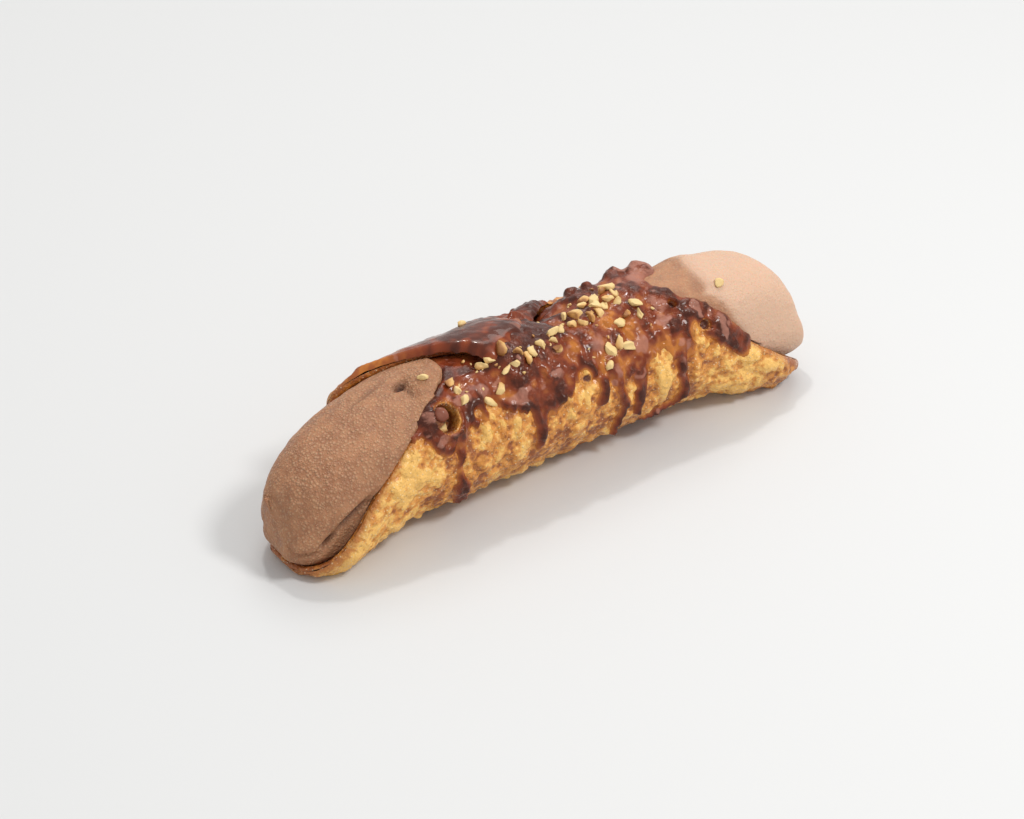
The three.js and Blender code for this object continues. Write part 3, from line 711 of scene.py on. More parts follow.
glazeFinish = {
    "film": colour(186, 114, 50),
    "thicker": [(0.08, 0.34, colour(156, 86, 42)), (0.32, 0.85, colour(124, 54, 29)),
                (0.8, 1.4, colour(70, 28, 17))],
    # pale mauve tone laid over the glaze: partly its dull skin, partly a painted sheen of reflected light
    "hazeAndSheen": colour(180, 124, 106),
    "hazeOver": (0.52, 0.9, (0, 0.64)),
    "brokenUp": 1.4,
    "roughness": (0.16, 0.42),
    "bumps": [(0.8, 0.0007), (0.6, 0.0003), (0.25, 0.00015)],
    "gloss": {"Specular IOR Level": 0.22, "Specular Tint": (1, 0.86, 0.74, 1),
              "Coat Weight": 0.26, "Coat Roughness": 0.06, "Coat Tint": (1, 0.9, 0.82, 1)},
    "grain": (520.0, 1.2, 0.5),
    "small": (1500.0, 1.0, 0.8),
    "fizz": (1300.0, 0.3, 0.2),
    "wander": 0.85,  # how far the tone strays from what the depth gives
    "dulled": 0.3,  # how much rougher the haze is
}


def chocolateGlaze(g, place, depth, hazeAndSheen, wrinkle):
    grain, small = addGrain(place, g["grain"]), addGrain(place, g["small"])
    fizz = addSpeckles(place, g["fizz"])
    wander = mottled(grain, g["wander"])
    dapple = mottled(small, wrinkle)
    level = plus(plus(depth, wander), dapple)
    breakUp = plus(wander, times(dapple, g["brokenUp"]))
    # the pale tone of the dull skin, partly a painted sheen, also makes it rougher
    dullSkinAndSheen = ranged(plus(hazeAndSheen, breakUp), *g["hazeOver"])
    base = layered(g["film"], graded(level, g["thicker"]) + [(dullSkinAndSheen, g["hazeAndSheen"])])
    shine = ranged(grain["Mottle"], 0.35, 0.7, g["roughness"])
    return base, plus(shine, times(dullSkinAndSheen, g["dulled"])), [
        times(grain["Height"], wrinkle), times(small["Height"], wrinkle), fizz]


iceFinish = {
    "shade": colour(154, 106, 76),
    "body": [(0.3, 0.7, colour(174, 124, 90))],
    "pale": colour(211, 175, 149),
    "frost": (0.5, colour(210, 168, 132)),
    "speck": (0.8, colour(92, 56, 42)),
    # painted shade: the darker tone laid into the ice cream's dents
    "fold": colour(84, 52, 38),
    "roughness": (0.45, 0.65),
    "fineFrost": 0.6,
    "roughBy": (0.35, 1.0),
    "bumps": [(0.6, 0.0003), (0.8, 0.0003)],
    "gloss": {"Specular IOR Level": 0.28, "Subsurface Weight": 0.12, "Subsurface Scale": 0.0012},
    "grain": (1100.0, 0.8, 0.4),
    "dots": (1150.0, 0.62, 0.85),
    "fineDots": (2100.0, 0.62, 0.7),
    "specks": (170.0, 0.06, 0.16),
}


def iceCream(c, place, icy, paleness, fold):
    grain = addGrain(place, c["grain"])
    dots, fineDots, specks = [addSpeckles(place, c[kind]) for kind in ("dots", "fineDots", "specks")]
    frost = times(maths("MAXIMUM", dots, times(fineDots, c["fineFrost"])), icy)
    (frosted, frostTone), (specked, speckTone) = c["frost"], c["speck"]
    # the fold value paints shade into the dents
    base = layered(c["shade"], graded(grain["Mottle"], c["body"]) + [
        (paleness, c["pale"]), (times(frost, frosted), frostTone), (times(specks, specked), speckTone),
        (fold, c["fold"])])
    roughness = ranged(grain["Mottle"], 0.3, 0.7, c["roughness"])
    return base, roughness, [times(grain["Height"], ranged(icy, 0.0, 1.0, c["roughBy"])), frost]


nutFinish = {
    "cream": colour(230, 198, 136),
    "golden": [(0.2, 0.95, colour(206, 146, 72))],
    "skin": [(1.1, 1.5, colour(146, 92, 44))],
    "roughness": (0.4, 0.6),
    "bumps": [(0.4, 0.0003)],
    "gloss": {"Specular IOR Level": 0.45},
    "grain": (1500.0, 0.8, 0.3),
}


def choppedNut(n, place, tone):
    grain = addGrain(place, n["grain"])
    base = layered(n["cream"], graded(tone, n["golden"])
                   + graded(plus(tone, grain["Mottle"]), n["skin"]))
    return base, ranged(grain["Mottle"], 0.3, 0.7, n["roughness"]), [grain["Height"]]


pastryLook = makeMaterial("friedPastry", friedFinish, friedPastry, "toastAndShade", "rim", "hollow")
glazeLook = makeMaterial("chocolateGlaze", glazeFinish, chocolateGlaze, "depth", "hazeAndSheen", "wrinkle")
iceLook = makeMaterial("chocolateIceCream", iceFinish, iceCream, "icy", "paleness", "fold")
nutLook = makeMaterial("choppedNut", nutFinish, choppedNut, "tone")

print("cannolo: pastry")

sheet = {
    "columns": 292,
    # row spacing in degrees from each angle on: finest on the front, coarse where it is hidden
    "rowSteps": [(-198, 1.4), (-136, 3.0), (8, 1.15), (176, 1.6), (236, 6)],
    "edgeSteps": (0, 0.08, 0.3, 0.65, 1.1),  # mm in from a rim, where the edge rounds over
    "turnsFrom": 100,  # behind this angle the columns follow the slanted edge
    "insideLift": 0.02,
    "firstColumn": 0.45,  # mm from those to the evenly spaced columns
    "rimRound": 1.3,
    "reliefAtRim": 0.35,
    "reliefFrom": 1.4,
    "insideSize": (90, 90),
    "insideRelief": 0.12,
    # how brown it is, with painted shade added in the openings and blister valleys: about 0 is pale, 0.5
    # golden and 1 brown
    "toastAndShade": {
        "base": 0.79,
        "patches": 0.5,
        "tops": 0.5,
        "smallTops": 0.8,
        "rims": (0.35, 2.2),  # how much, and over how many mm
        "flapLip": 0.55,
        "rightTip": (0.6, 56, 68),
        # painted shade in the openings also makes the pastry browner there
        "openings": 0.8,
        "inside": 0.95,
        "insidePatches": 0.3,
        "insideRim": 0.6,
        "rimBand": 1.8,  # mm that the dark rim line fades over
        # painted shade inside the openings' mouths, less on the crater's right wall, and painted shadow on
        # the outer flap's underside towards its edge
        "mouth": {"edge": (0.86, 1.04), "most": 0.9, "rightWall": 0.6, "wallFrom": (0.8, 2.2)},
        "shadeUnderFlap": (0.8, 150, 172),
        "palerEnds": [(0.45, -1, 32, 48), (0.42, 1, 36, 48)],  # how much, on which side, x from and to
    },
}

def sheetGrid(columns, rowAngles):
    steps = np.array(sheet["edgeSteps"])
    angle = rowAngles[:, None]
    left, right = -rimReach("left", angle), rimReach("right", angle)
    middle = np.linspace(0, 1, columns - 2 * len(steps))[None, :]
    inner = mix(left + steps[-1] + sheet["firstColumn"], right - steps[-1] - sheet["firstColumn"], middle)
    x = np.concatenate([left + steps, inner, right - steps[::-1]], 1)
    fromRim = np.minimum(x - left, right - x)
    fromEdge = np.minimum(onArc(angle - roll["outerEdge"]), onArc(roll["innerEdge"] - angle)) + 0 * x
    turned = angle + seamSkew(x) * smooth(-angle, sheet["turnsFrom"], -roll["outerEdge"])
    return turned, x, fromRim, np.minimum(fromRim, fromEdge)


def roundedShare(fromBorder):
    t = np.clip(fromBorder / sheet["rimRound"], 0, 1)
    return np.sqrt(np.clip(1 - (1 - t) ** 2, 0, 1))


def outerRows():
    edge = arcDegrees(np.array(sheet["edgeSteps"]))
    start, end = roll["outerEdge"] + edge, roll["innerEdge"] - edge[::-1]
    rows = [start[-1] + 1]
    while rows[-1] < end[0] - 1:
        step = [size for since, size in sheet["rowSteps"] if rows[-1] >= since][-1]
        rows.append(rows[-1] + step)
    return np.concatenate([start, [row for row in rows if row < end[0] - 0.5], end])


def joined(*parts):
    return np.concatenate([np.ravel(part) for part in parts])


def onFloor(points, lowest=0):
    points[..., 2] = np.maximum(points[..., 2], lowest)
    return points


outerAngles, outerX, fromRim, fromBorder = sheetGrid(sheet["columns"], outerRows())
outer = (outerAngles, outerX)
half = roll["thickness"] / 2
relief = crustRelief(*outer) * mix(sheet["reliefAtRim"], 1, smooth(fromBorder, 0, sheet["reliefFrom"]))
evenRadius = pastryRadius(*outer) - half + half * roundedShare(fromBorder)
outerPoints = onFloor(aroundAxis(outerX, outerAngles, evenRadius + relief))

rows, columns = sheet["insideSize"]
insideAngles, insideX, _, insideBorder = sheetGrid(
    columns, np.linspace(roll["outerEdge"], roll["innerEdge"], rows))
inside = (insideAngles, insideX)
insideRadius = pastryRadius(*inside) - half - half * roundedShare(insideBorder)
insideRadius = insideRadius + sheet["insideRelief"] * lookUp(roughMap, *inside) * smooth(insideBorder, 0, 2)
insidePoints = onFloor(aroundAxis(insideX, insideAngles, insideRadius), sheet["insideLift"])

shellPoints = np.concatenate([outerPoints.reshape(-1, 3), insidePoints.reshape(-1, 3)])
shellFaces = np.concatenate([
    gridQuads(*outerX.shape), gridQuads(*insideX.shape, flipped=True, start=outerX.size)])

t = sheet["toastAndShade"]
# browner between blisters and paler on their tops: partly the frying's own tone, partly painted shade in the
# valleys
tops = lookUp(blisterMap, *outer) + t["smallTops"] * lookUp(smallMap, *outer)
rimToast, rimWidth = t["rims"]
toastAndShade = (t["base"] + t["patches"] * lookUp(patchMap, *outer) - t["tops"] * tops - lookUp(roughMap, *outer)
         + rimToast * np.exp(-fromRim / rimWidth) + t["flapLip"] * onFlapLip(*outer))
tipToast, *tipX = t["rightTip"]
toastAndShade = toastAndShade + tipToast * smooth(outerX, *tipX)
for paler, side, start, end in t["palerEnds"]:
    toastAndShade = toastAndShade - paler * smooth(side * outerX, start, end)
# painted shade inside the openings' mouths
hollow = np.zeros_like(outerX)
mouth = t["mouth"]
for name, (inMouth, _) in nearOpenings(*outer):
    dark = 1 - smooth(inMouth, *mouth["edge"])
    if name == "crater":  # its right wall gets less painted shade
        dark = dark * mix(1, mouth["rightWall"], smooth(outerX - openings[name][0], *mouth["wallFrom"]))
    hollow = np.maximum(hollow, dark * mouth["most"])
toastAndShade = toastAndShade + t["openings"] * hollow
toastInside = t["inside"] + t["insidePatches"] * lookUp(patchMap, *inside)
underFlapShade, *underFlapShadeAngles = t["shadeUnderFlap"]
# the outer flap's underside gets painted shadow towards its edge, carried in the hollow value
shell = buildPiece("pastryShell", shellPoints, shellFaces, pastryLook, {
    "toastAndShade": joined(toastAndShade, toastInside),
    "rim": joined(np.exp(-fromRim / t["rimBand"]), np.full(insideX.size, t["insideRim"])),
    "hollow": joined(hollow, underFlapShade * smooth(-insideAngles, *underFlapShadeAngles))})

print("cannolo: glaze")

above = glazeAbove(*outer)
depth = np.clip(above - glaze["lumpTone"] * lookUp(lumpMap, *outer), 0, glaze["deepest"])

# it ends a little way in under the outer flap, further in at the left
underFlap = glaze["pastSeam"]
pastSeam = outerAngles - seamAngle(outerX)
above = np.where(pastSeam > 0, np.minimum(above, underFlap["thickness"]), above)
farthest = mix(*underFlap["reach"], smooth(-outerX, *underFlap["x"]))
above = np.where(pastSeam > farthest, glaze["hidden"], above)

# where it bridges the seam, it also fills the flap's rounded edge
fillet = glaze["seamFillet"]
inFillet = smooth(outerX, *fillet["from"]) * (1 - smooth(outerX, *fillet["to"]))
onFlap = outerAngles < fillet["flapFrom"]
above = above + np.where(onFlap, half * (1 - roundedShare(fromBorder)) * inFillet, 0)
probe = (60, 100)
evenNormals = gridNormals(aroundAxis(outerX, outerAngles, evenRadius))
outward = outerPoints[probe] - [outerX[probe], 0, roll["axisHeight"]]
evenNormals = evenNormals * np.sign(gridNormals(outerPoints)[probe] @ outward)
glazePoints = outerPoints + evenNormals * above[..., None]

# only the faces that show are kept
quads = gridQuads(*outerX.shape)
kept, wrinkles = glaze["kept"], glaze["wrinkles"]
shows = (above.ravel()[quads] > kept["above"]).any(1)
quads = quads[shows & (outerAngles.ravel()[quads] < kept["angle"]).all(1)]
used = np.unique(quads)
renumber = np.zeros(outerX.size, int)
renumber[used] = np.arange(len(used))
wrinkle = mix(wrinkles["least"], 1, smooth(lookUp(patchMap, *outer), *wrinkles["patches"]))
wrinkle = mix(wrinkle, wrinkles["onTop"], onFlapTop(*outer)) * mix(1, wrinkles["onLip"], onFlapLip(*outer))
glazeSkin = buildPiece("glazeSkin", glazePoints.reshape(-1, 3)[used], renumber[quads], glazeLook, {
    "depth": depth.ravel()[used], "hazeAndSheen": hazeAndSheenAt(*outer).ravel()[used], "wrinkle": wrinkle.ravel()[used]})

print("cannolo: nuts")

nuts = {
    "seed": 7,
    "chipSeeds": (3, 8),  # for the pieces on the pastry, and on the ice cream
    # how many, first end and last end of the band as x and angle, how far they stray from it
    "bands": [
        (4, (-27, 176), (-25.5, 139), (1, 3)),
        (5, (-17, 157), (-10, 155), (1.5, 8)),
        (5, (-8.5, 150), (-1, 156), (1.5, 4)),
        (4, (3, 150), (6, 166), (1, 3)),
        (16, (12, 170), (26, 178), (2, 10)),
        (4, (17, 150), (29, 156), (1.5, 5)),
        (4, (12, 122), (23, 134), (2, 6)),
    ],
    "single": [(-9.4, 216), (-32.4, 126), (-18.8, 131), (-15.5, 137)],
    "mostTries": 2000,
    "length": (2.6, 4.4),
    "narrowness": (0.55, 0.8),
    "halfHeight": 0.95,
    "raised": 0.25,
    "spacing": 2.3,
    "rimMargin": 2.6,
    "onFilling": [(-31.5, 168), (52, 150)],
    # draws that the solid's chips and lumps take up
    "drawsPerChip": 12,
    "lumpsFirst": 5,
    "cuts": 9,
    "cutDepth": (0.34, 0.78),
    "cutShare": 0.96,
    "hollowed": {"share": 0.35, "width": 0.42, "depth": 0.75},
    "roughness": 0.045,
    "shear": 0.35,
    "bend": 0.45,
    "lean": {"X": 0.35, "Y": 0.3},
    "tone": {"power": 1.4, "slope": 0.3},
    "crumbs": {"perNut": 1.6, "size": (0.28, 0.62), "width": (0.5, 0.9), "flat": 0.6, "reach": 3.2,
               "seed": 14, "raised": 0.1, "x": (-26, 33), "angle": (118, 200)},
}


def placeNuts(draw):
    margin = nuts["rimMargin"]
    placed = list(nuts["single"])
    for count, low, high, spread in nuts["bands"]:
        tries = found = 0
        while found < count and tries < nuts["mostTries"]:
            tries += 1
            t = next(draw)
            x, angle = [mix(low[k], high[k], t) + spread[k] * (2 * next(draw) - 1) for k in (0, 1)]
            inRims = margin - rimReach("left", angle) < x < rimReach("right", angle) - margin
            if inRims and all(math.hypot(x - px, onArc(angle - pa)) > nuts["spacing"] for px, pa in placed):
                placed.append((x, angle))
                found += 1
    return placed


def surfaceRadius(polar, x):
    polar, x = np.float64(polar), np.float64(x)
    flap = polar - 360
    onFlap = polar > seamAngle(x) and -rimReach("left", flap) < x < rimReach("right", flap)
    spot = (np.array([flap if onFlap else polar]), np.array([x]))
    height = 0.5 * crustRelief(*spot) + np.clip(glazeAbove(*spot), 0, None)
    return float((pastryRadius(*spot) + height)[0])


def unitBall(detail):
    ball = bmesh.new()
    bmesh.ops.create_icosphere(ball, subdivisions=detail, radius=1)
    points = np.array([v.co[:] for v in ball.verts])
    faces = np.array([[v.index for v in f.verts] for f in ball.faces])
    ball.free()
    return points, faces


# a piece broken off a nut: a ball cut by flat planes, at times hollowed like a half kernel
def nutChip(rng, size, ball):
    points, hollowed = ball.copy(), nuts["hollowed"]
    for _ in range(nuts["cuts"]):
        direction = rng.normal(size=3)
        direction /= np.linalg.norm(direction)
        over = np.clip(points @ direction - rng.uniform(*nuts["cutDepth"]), 0, None)
        points -= over[:, None] * direction * nuts["cutShare"]
    if rng.uniform() < hollowed["share"]:
        inMiddle = bell(np.hypot(points[:, 0], points[:, 1]), 0, hollowed["width"])
        points[:, 2] -= hollowed["depth"] * np.clip(points[:, 2], 0, None) * inMiddle
    points *= 1 + nuts["roughness"] * rng.normal(size=(len(points), 1))
    points[:, 0] += nuts["shear"] * points[:, 1] * rng.uniform(-1, 1)
    points[:, 1] += rng.uniform(-nuts["bend"], nuts["bend"]) * points[:, 0] ** 2
    points -= (points.max(0) + points.min(0)) / 2
    return points / np.abs(points).max(0) * size


# turns a piece's own points so that they lie on the roll at that angle
def laidAt(points, angle, centre):
    up = np.array([0, -math.sin(math.radians(angle)), -math.cos(math.radians(angle))])
    along = np.array([1, 0, 0])
    side = np.cross(up, along)
    return centre + points[:, :1] * along + points[:, 1:2] * side + points[:, 2:] * up


# joins chips into one piece; each place is x, angle, radius, half sizes and spin
def chipPiece(name, places, rng, ball, faces):
    allPoints, allFaces, tones = [], [], []
    for x, angle, radius, size, spin in places:
        chip = nutChip(rng, np.array(size), ball)
        lean, tilt = [Matrix.Rotation(rng.uniform(-by, by), 3, axis) for axis, by in nuts["lean"].items()]
        turned = chip @ np.array(Matrix.Rotation(spin, 3, "Z") @ (lean @ tilt)).T
        allFaces.append(faces + len(chip) * len(allPoints))
        allPoints.append(laidAt(turned, angle, aroundAxis(x, angle, radius)))
        slope = nuts["tone"]["slope"] * chip[:, 1] / np.abs(chip[:, 1]).max()
        tones.append(rng.uniform(0, 1) ** nuts["tone"]["power"] + slope)
    return buildPiece(name, np.concatenate(allPoints), np.concatenate(allFaces), nutLook,
                      {"tone": np.concatenate(tones)})


def nutPlaces(spots, draw):
    for x, angle, surface in spots:
        length = mix(*nuts["length"], next(draw) ** 2)
        size = (length / 2, length / 2 * mix(*nuts["narrowness"], next(draw)), nuts["halfHeight"])
        for _ in range(nuts["drawsPerChip"]):
            next(draw)
        yield x, angle, surface + nuts["raised"], size, math.pi * next(draw)


ball = unitBall(3)
draw = seededDraw(nuts["seed"])
for _ in range(nuts["drawsPerChip"] * nuts["lumpsFirst"]):
    next(draw)
spots = [(x, angle, surfaceRadius(angle, x)) for x, angle in placeNuts(draw)]
chipDraws = [np.random.default_rng(seed) for seed in nuts["chipSeeds"]]
shellNuts = chipPiece("choppedNuts", nutPlaces(spots, draw), chipDraws[0], *ball)

# crumbs of nut round the pieces
crumbs = nuts["crumbs"]
rng = np.random.default_rng(crumbs["seed"])
crumbPlaces = []
for _ in range(int(len(spots) * crumbs["perNut"])):
    x, angle, _ = spots[rng.integers(len(spots))]
    x = x + rng.normal() * crumbs["reach"]
    angle = angle + arcDegrees(rng.normal() * crumbs["reach"])
    size = rng.uniform(*crumbs["size"]) * np.array([1, rng.uniform(*crumbs["width"]), crumbs["flat"]])
    (lowX, highX), (lowAngle, highAngle) = crumbs["x"], crumbs["angle"]
    onGlaze = glazeAbove(np.array([angle]), np.array([x]))[0] > 0
    if lowX < x < highX and lowAngle < angle < highAngle and onGlaze:
        place = (x, angle, surfaceRadius(angle, x) + crumbs["raised"], size, rng.uniform(0, math.pi))
        crumbPlaces.append(place)
nutCrumbs = chipPiece("nutCrumbs", crumbPlaces, rng, *unitBall(2))

# a blob of chocolate that ran into the burst blister
blobShape = {"x": -32.3, "angle": 136, "upAngle": 137, "halves": (1.7, 1.8, 1.2), "uneven": 0.06,
             "levelAt": (137, -38), "sunk": 0.1, "tone": {"depth": 1.0, "hazeAndSheen": 0.62, "wrinkle": 0.2}}
ballPoints, ballFaces = ball
dents = np.sin(5 * ballPoints[:, :1] + 3 * ballPoints[:, 1:2])
blobPoints = ballPoints * blobShape["halves"] * (1 + blobShape["uneven"] * dents)
blobRadius = surfaceRadius(*blobShape["levelAt"]) - blobShape["sunk"]
blobCentre = aroundAxis(blobShape["x"], blobShape["angle"], blobRadius)
blobPoints = laidAt(blobPoints, blobShape["upAngle"], blobCentre)
blob = buildPiece("chocolateBlob", blobPoints, ballFaces, glazeLook, {
    key: np.full(len(blobPoints), value) for key, value in blobShape["tone"].items()})

print("cannolo: ice cream")

filling = {
    "clearance": 0.25,
    "rimGap": 0.15,
    "lipStep": 0.3,
    "footHeight": 3,
    "footRound": 5,
    "around": 300,
    "domeColumns": 130,
    "tailColumns": 14,
    "coreColumns": 14,
    "left": {"pole": (-73, -3, 9.6), "deepest": 54, "crown": 16.7, "foot": 17, "bluntCrown": 0.15,
             "bluntFoot": 0.85},
    "right": {"pole": (75.6, -5.5, 7.5), "deepest": 60, "crown": 16, "foot": 17.6, "bluntCrown": 0.6,
              "bluntFoot": 0.9},
    "swells": (55, 110),  # between these angles the foot turns into the crown
    "bluntInFront": {"back": (-50, 0), "climb": (55, 112)},
    "flushBack": {"by": 1.0, "from": (-145, -80), "to": (-40, 5)},
    "flapStep": (6, 32),  # the step in the pastry beside the inner flap's end
    "valley": {"x": -58.5, "angle": 73, "slant": 49, "depth": 1.8, "length": 7, "width": 2.2},
    "smear": {"sunk": 0.55, "x": (44.5, 51.5)},
    "tail": (0.95, 0.02),  # how the last columns close in on the pole
    "gathered": 1.5,  # columns crowd towards the pole by this power
    "nearPole": 0.9995,
    "rightSide": (30, 32),
    "icyRight": 0.45,
    "dentShadeDepth": 1.6,
    # the paleness lip is a painted highlight: a paler line just past the smear's end, along the ridge's crest
    "paleness": {"least": 0.06, "more": 0.84, "over": (-1.8, 2.6), "lip": (0.2, 0.6, 0.7)},
    "ridge": {"x": 52.8, "height": 0.42, "length": 2.8, "climb": (100, 130)},
    "uneven": [(0.2, 7.0, 31), (0.09, 2.4, 32), (0.05, 1.1, 33)],  # height, cell, seed
    # smaller folds, dimples and swellings: x, angle, half length, half width, height, turn
    "forms": [
        (-59.3, 84.5, 4.8, 1.2, -1.9, 34),  # floor of the hollow along the left dome's lower edge
        (-62.2, 88.5, 4.5, 1.0, 0.6, 43),  # soft ridge above it
        (-59.3, 66, 5.0, 2.3, 1.9, 48),  # ledge below it
        (-66, 43, 6.5, 4.4, 2.8, 8),  # the foot bulges over the pastry
        (-65.9, 65, 1.9, 0.75, -3.0, 45),  # small hole
        (-70.7, 55, 2.0, 0.5, -1.5, 10),  # slit that runs on from it
        (-30.6, 171, 2.8, 3.6, 1.7, 0),  # the swirl's smooth lobe
        (-36.2, 176, 1.9, 1.1, -1.9, 25),  # dimple at its start
        (-35.4, 166, 0.8, 2.6, -1.0, 0),  # crease that runs down from it
        (-43, 188, 6, 1.1, -0.5, 14),  # shallow furrow behind it
        (-33.8, 156, 1.1, 3.4, 0.5, 0),  # lower fold
        (58, 166, 6, 5, 0.15, 0),  # faint swelling on the right dome
    ],
    "formsFade": (3, 8),  # mm from the left dome's pole
    # where the smear ends and the right dome starts: angle, x
    "smearEnd": [(100, 54), (120, 51.5), (130, 50.8), (140, 49.2), (146, 47.4), (153, 48.8), (172, 48.7),
                 (184, 49), (201, 50.6), (240, 53)],
    "backFrom": -100,
    "smearStep": {"by": 0.06, "over": (-0.5, 0.3), "lip": (0.5, 0.6, 0.9)},
}
flapEnd = roll["innerEdge"] - 360


# beside the inner flap's end the room changes in a step, which the ice cream takes smoothly
def pastFlapEnd(polar, value, valueAtEnd, start, end):
    stepped = mix(valueAtEnd, value, smooth(polar, flapEnd + start, flapEnd + end))
    return np.where((polar < flapEnd) | (polar > 0), value, stepped)


def spiralAngle(polar):
    return np.where(polar < flapEnd, polar + 360, polar)


def innerRoom(polar, x):
    room = innerFace(spiralAngle(polar), x) - filling["clearance"]
    atFlapEnd = innerFace(np.full_like(x, roll["innerEdge"], dtype=float), x) - filling["clearance"]
    return pastFlapEnd(polar, room, atFlapEnd, *filling["flapStep"])


def exitReach(side, dome, polar):
    reach = rimReach(side, spiralAngle(polar))
    atFlapEnd = rimReach(side, np.array(float(roll["innerEdge"])))
    reach = pastFlapEnd(polar, reach, atFlapEnd, 0, filling["flapStep"][1])
    return np.minimum(reach + filling["rimGap"], dome["deepest"])


def keptInside(side, points):
    x, y, down = points[..., 0], points[..., 1], roll["axisHeight"] - points[..., 2]
    polar = np.degrees(np.arctan2(-y, down))
    limit = np.hypot(y, down)
    for turn in (0, 360):
        angle = polar + turn
        covers = (angle < roll["innerEdge"]) & (np.abs(x) < rimReach(side, angle) + filling["rimGap"])
        limit = np.where(covers, np.minimum(limit, innerFace(angle, x) - filling["clearance"]), limit)
    return aroundAxis(x, polar, limit)


def shoulderRadius(dome, polar):
    back = filling["flushBack"]
    swollen = mix(dome["foot"], dome["crown"], smooth(np.abs(polar), *filling["swells"]))
    flush = innerFace(polar, np.zeros_like(polar)) - back["by"]
    return mix(swollen, flush, smooth(polar, *back["from"]) * (1 - smooth(polar, *back["to"])))


def slanted(x, polar, middleX, middleAngle, slant):
    across, around = x - middleX, onArc(polar - middleAngle, roll["axisHeight"])
    cosine, sine = math.cos(math.radians(slant)), math.sin(math.radians(slant))
    return across * cosine + around * sine, around * cosine - across * sine


def domePoints(name, sign, reach, polar, shares, tail):
    dome, valley, smear, ridge = filling[name], filling["valley"], filling["smear"], filling["ridge"]
    turn = shares * math.pi / 2
    poleX, poleY, poleZ = dome["pole"]
    x = sign * mix(reach, abs(poleX), np.sin(turn))
    along, across = slanted(x, polar, valley["x"], valley["angle"], valley["slant"])
    dent = valley["depth"] * bell(along, 0, valley["length"]) * bell(across, 0, valley["width"])
    fold = ridge["height"] * bell(x, ridge["x"], ridge["length"])
    if sign > 0:
        fold = fold - smear["sunk"] * (1 - smooth(x, *smear["x"]))
    onTop = smooth(np.abs(polar), *ridge["climb"])
    edge = aroundAxis(x, polar, shoulderRadius(dome, polar) - dent + fold * onTop)
    edge[..., 2] = -smoothLow(-edge[..., 2], -filling["footHeight"], filling["footRound"])
    front = filling["bluntInFront"]
    inFront = smooth(polar, *front["back"]) * (1 - smooth(polar, *front["climb"]))
    swell = tail * np.cos(turn) ** (1 - mix(dome["bluntCrown"], dome["bluntFoot"], inFront))
    points = np.stack([x, mix(poleY, edge[..., 1], swell), mix(poleZ, edge[..., 2], swell)], -1)
    return keptInside(name, points)


# one end, from the pastry's mouth to the pole: rows run round it, columns along it
def endPoints(name, sign):
    dome = filling[name]
    reach = exitReach(name, dome, polarRows)
    shoulder = shoulderRadius(dome, polarRows) + filling["lipStep"]
    mouth = aroundAxis(sign * reach, polarRows, np.minimum(innerRoom(polarRows, sign * reach), shoulder))
    t = np.linspace(0, 1, filling["domeColumns"])
    tail = np.concatenate([np.ones_like(t), np.linspace(*filling["tail"], filling["tailColumns"])])[None, :]
    shares = np.concatenate([1 - (1 - t) ** filling["gathered"], np.ones(filling["tailColumns"])])[None, :]
    shares = shares * filling["nearPole"]
    swell = domePoints(name, sign, reach + filling["lipStep"], polarRows, shares, tail)
    return np.concatenate([mouth, swell], 1)


# smooth random values through space, for slow unevenness
def ballNoise(points, cell, seed):
    size = 24
    lattice = np.random.default_rng(seed).uniform(-1, 1, (size, size, size))
    scaled = points / cell
    corner = np.floor(scaled).astype(int)
    t = smooth(scaled - corner, 0, 1)
    total = np.zeros(points.shape[:-1])
    for step in np.ndindex(2, 2, 2):
        weight = np.abs(1 - np.array(step) - t).prod(-1)
        k = (corner + step) % size
        total += weight * lattice[k[..., 0], k[..., 1], k[..., 2]]
    return total


polarRows = np.linspace(-180, 180, filling["around"], endpoint=False)[:, None]
leftEnd, rightEnd = endPoints("left", -1)[:, ::-1], endPoints("right", 1)
coreShare = np.linspace(0, 1, filling["coreColumns"] + 2)[None, 1:-1]
coreX = mix(leftEnd[:, -1:, 0], rightEnd[:, :1, 0], coreShare)
core = aroundAxis(coreX, polarRows, innerRoom(polarRows + 0 * coreX, coreX))
icePoints = np.concatenate([leftEnd, core, rightEnd], 1)
iceNormals = gridNormals(np.concatenate([icePoints[-1:], icePoints, icePoints[:1]]))[1:-1]
probe = (40, 60)
outward = icePoints[probe] - [icePoints[probe][0], 0, roll["axisHeight"]]
iceNormals = iceNormals * np.sign(iceNormals[probe] @ outward)

iceX = icePoints[..., 0]
icePolar = np.degrees(np.arctan2(-icePoints[..., 1], roll["axisHeight"] - icePoints[..., 2]))
icePolar = np.where(icePolar < filling["backFrom"], icePolar + 360, icePolar)
folds = np.zeros_like(iceX)
for x, angle, halfLong, halfWide, height, slant in filling["forms"]:
    along, across = slanted(iceX, icePolar, x, angle, slant)
    folds = folds + height * bell(along, 0, halfLong) * bell(across, 0, halfWide)
_, poleY, poleZ = filling["left"]["pole"]
fromPole = np.hypot(icePoints[..., 1] - poleY, icePoints[..., 2] - poleZ)
folds = folds * mix(smooth(fromPole, *filling["formsFade"]), 1, iceX > 0)
lumps = sum(height * ballNoise(icePoints, cell, seed) for height, cell, seed in filling["uneven"]) + folds
pastSmear = iceX - alongOutline(filling["smearEnd"], icePolar)
onRight = smooth(iceX, *filling["rightSide"])
step, pale = filling["smearStep"], filling["paleness"]
stepLip, *besideStep = step["lip"]
smearRise = smooth(pastSmear, *step["over"]) + stepLip * bell(pastSmear, *besideStep) - 1
lumps = lumps + step["by"] * onRight * smearRise
isOut = np.ones_like(iceX)
isOut[:, leftEnd.shape[1] - 1:leftEnd.shape[1] + filling["coreColumns"] + 1] = 0
icePoints = icePoints + iceNormals * (lumps * isOut)[..., None]
for name, onSide in (("left", iceX < 0), ("right", iceX >= 0)):
    icePoints = np.where((onSide & (isOut > 0))[..., None], keptInside(name, icePoints), icePoints)

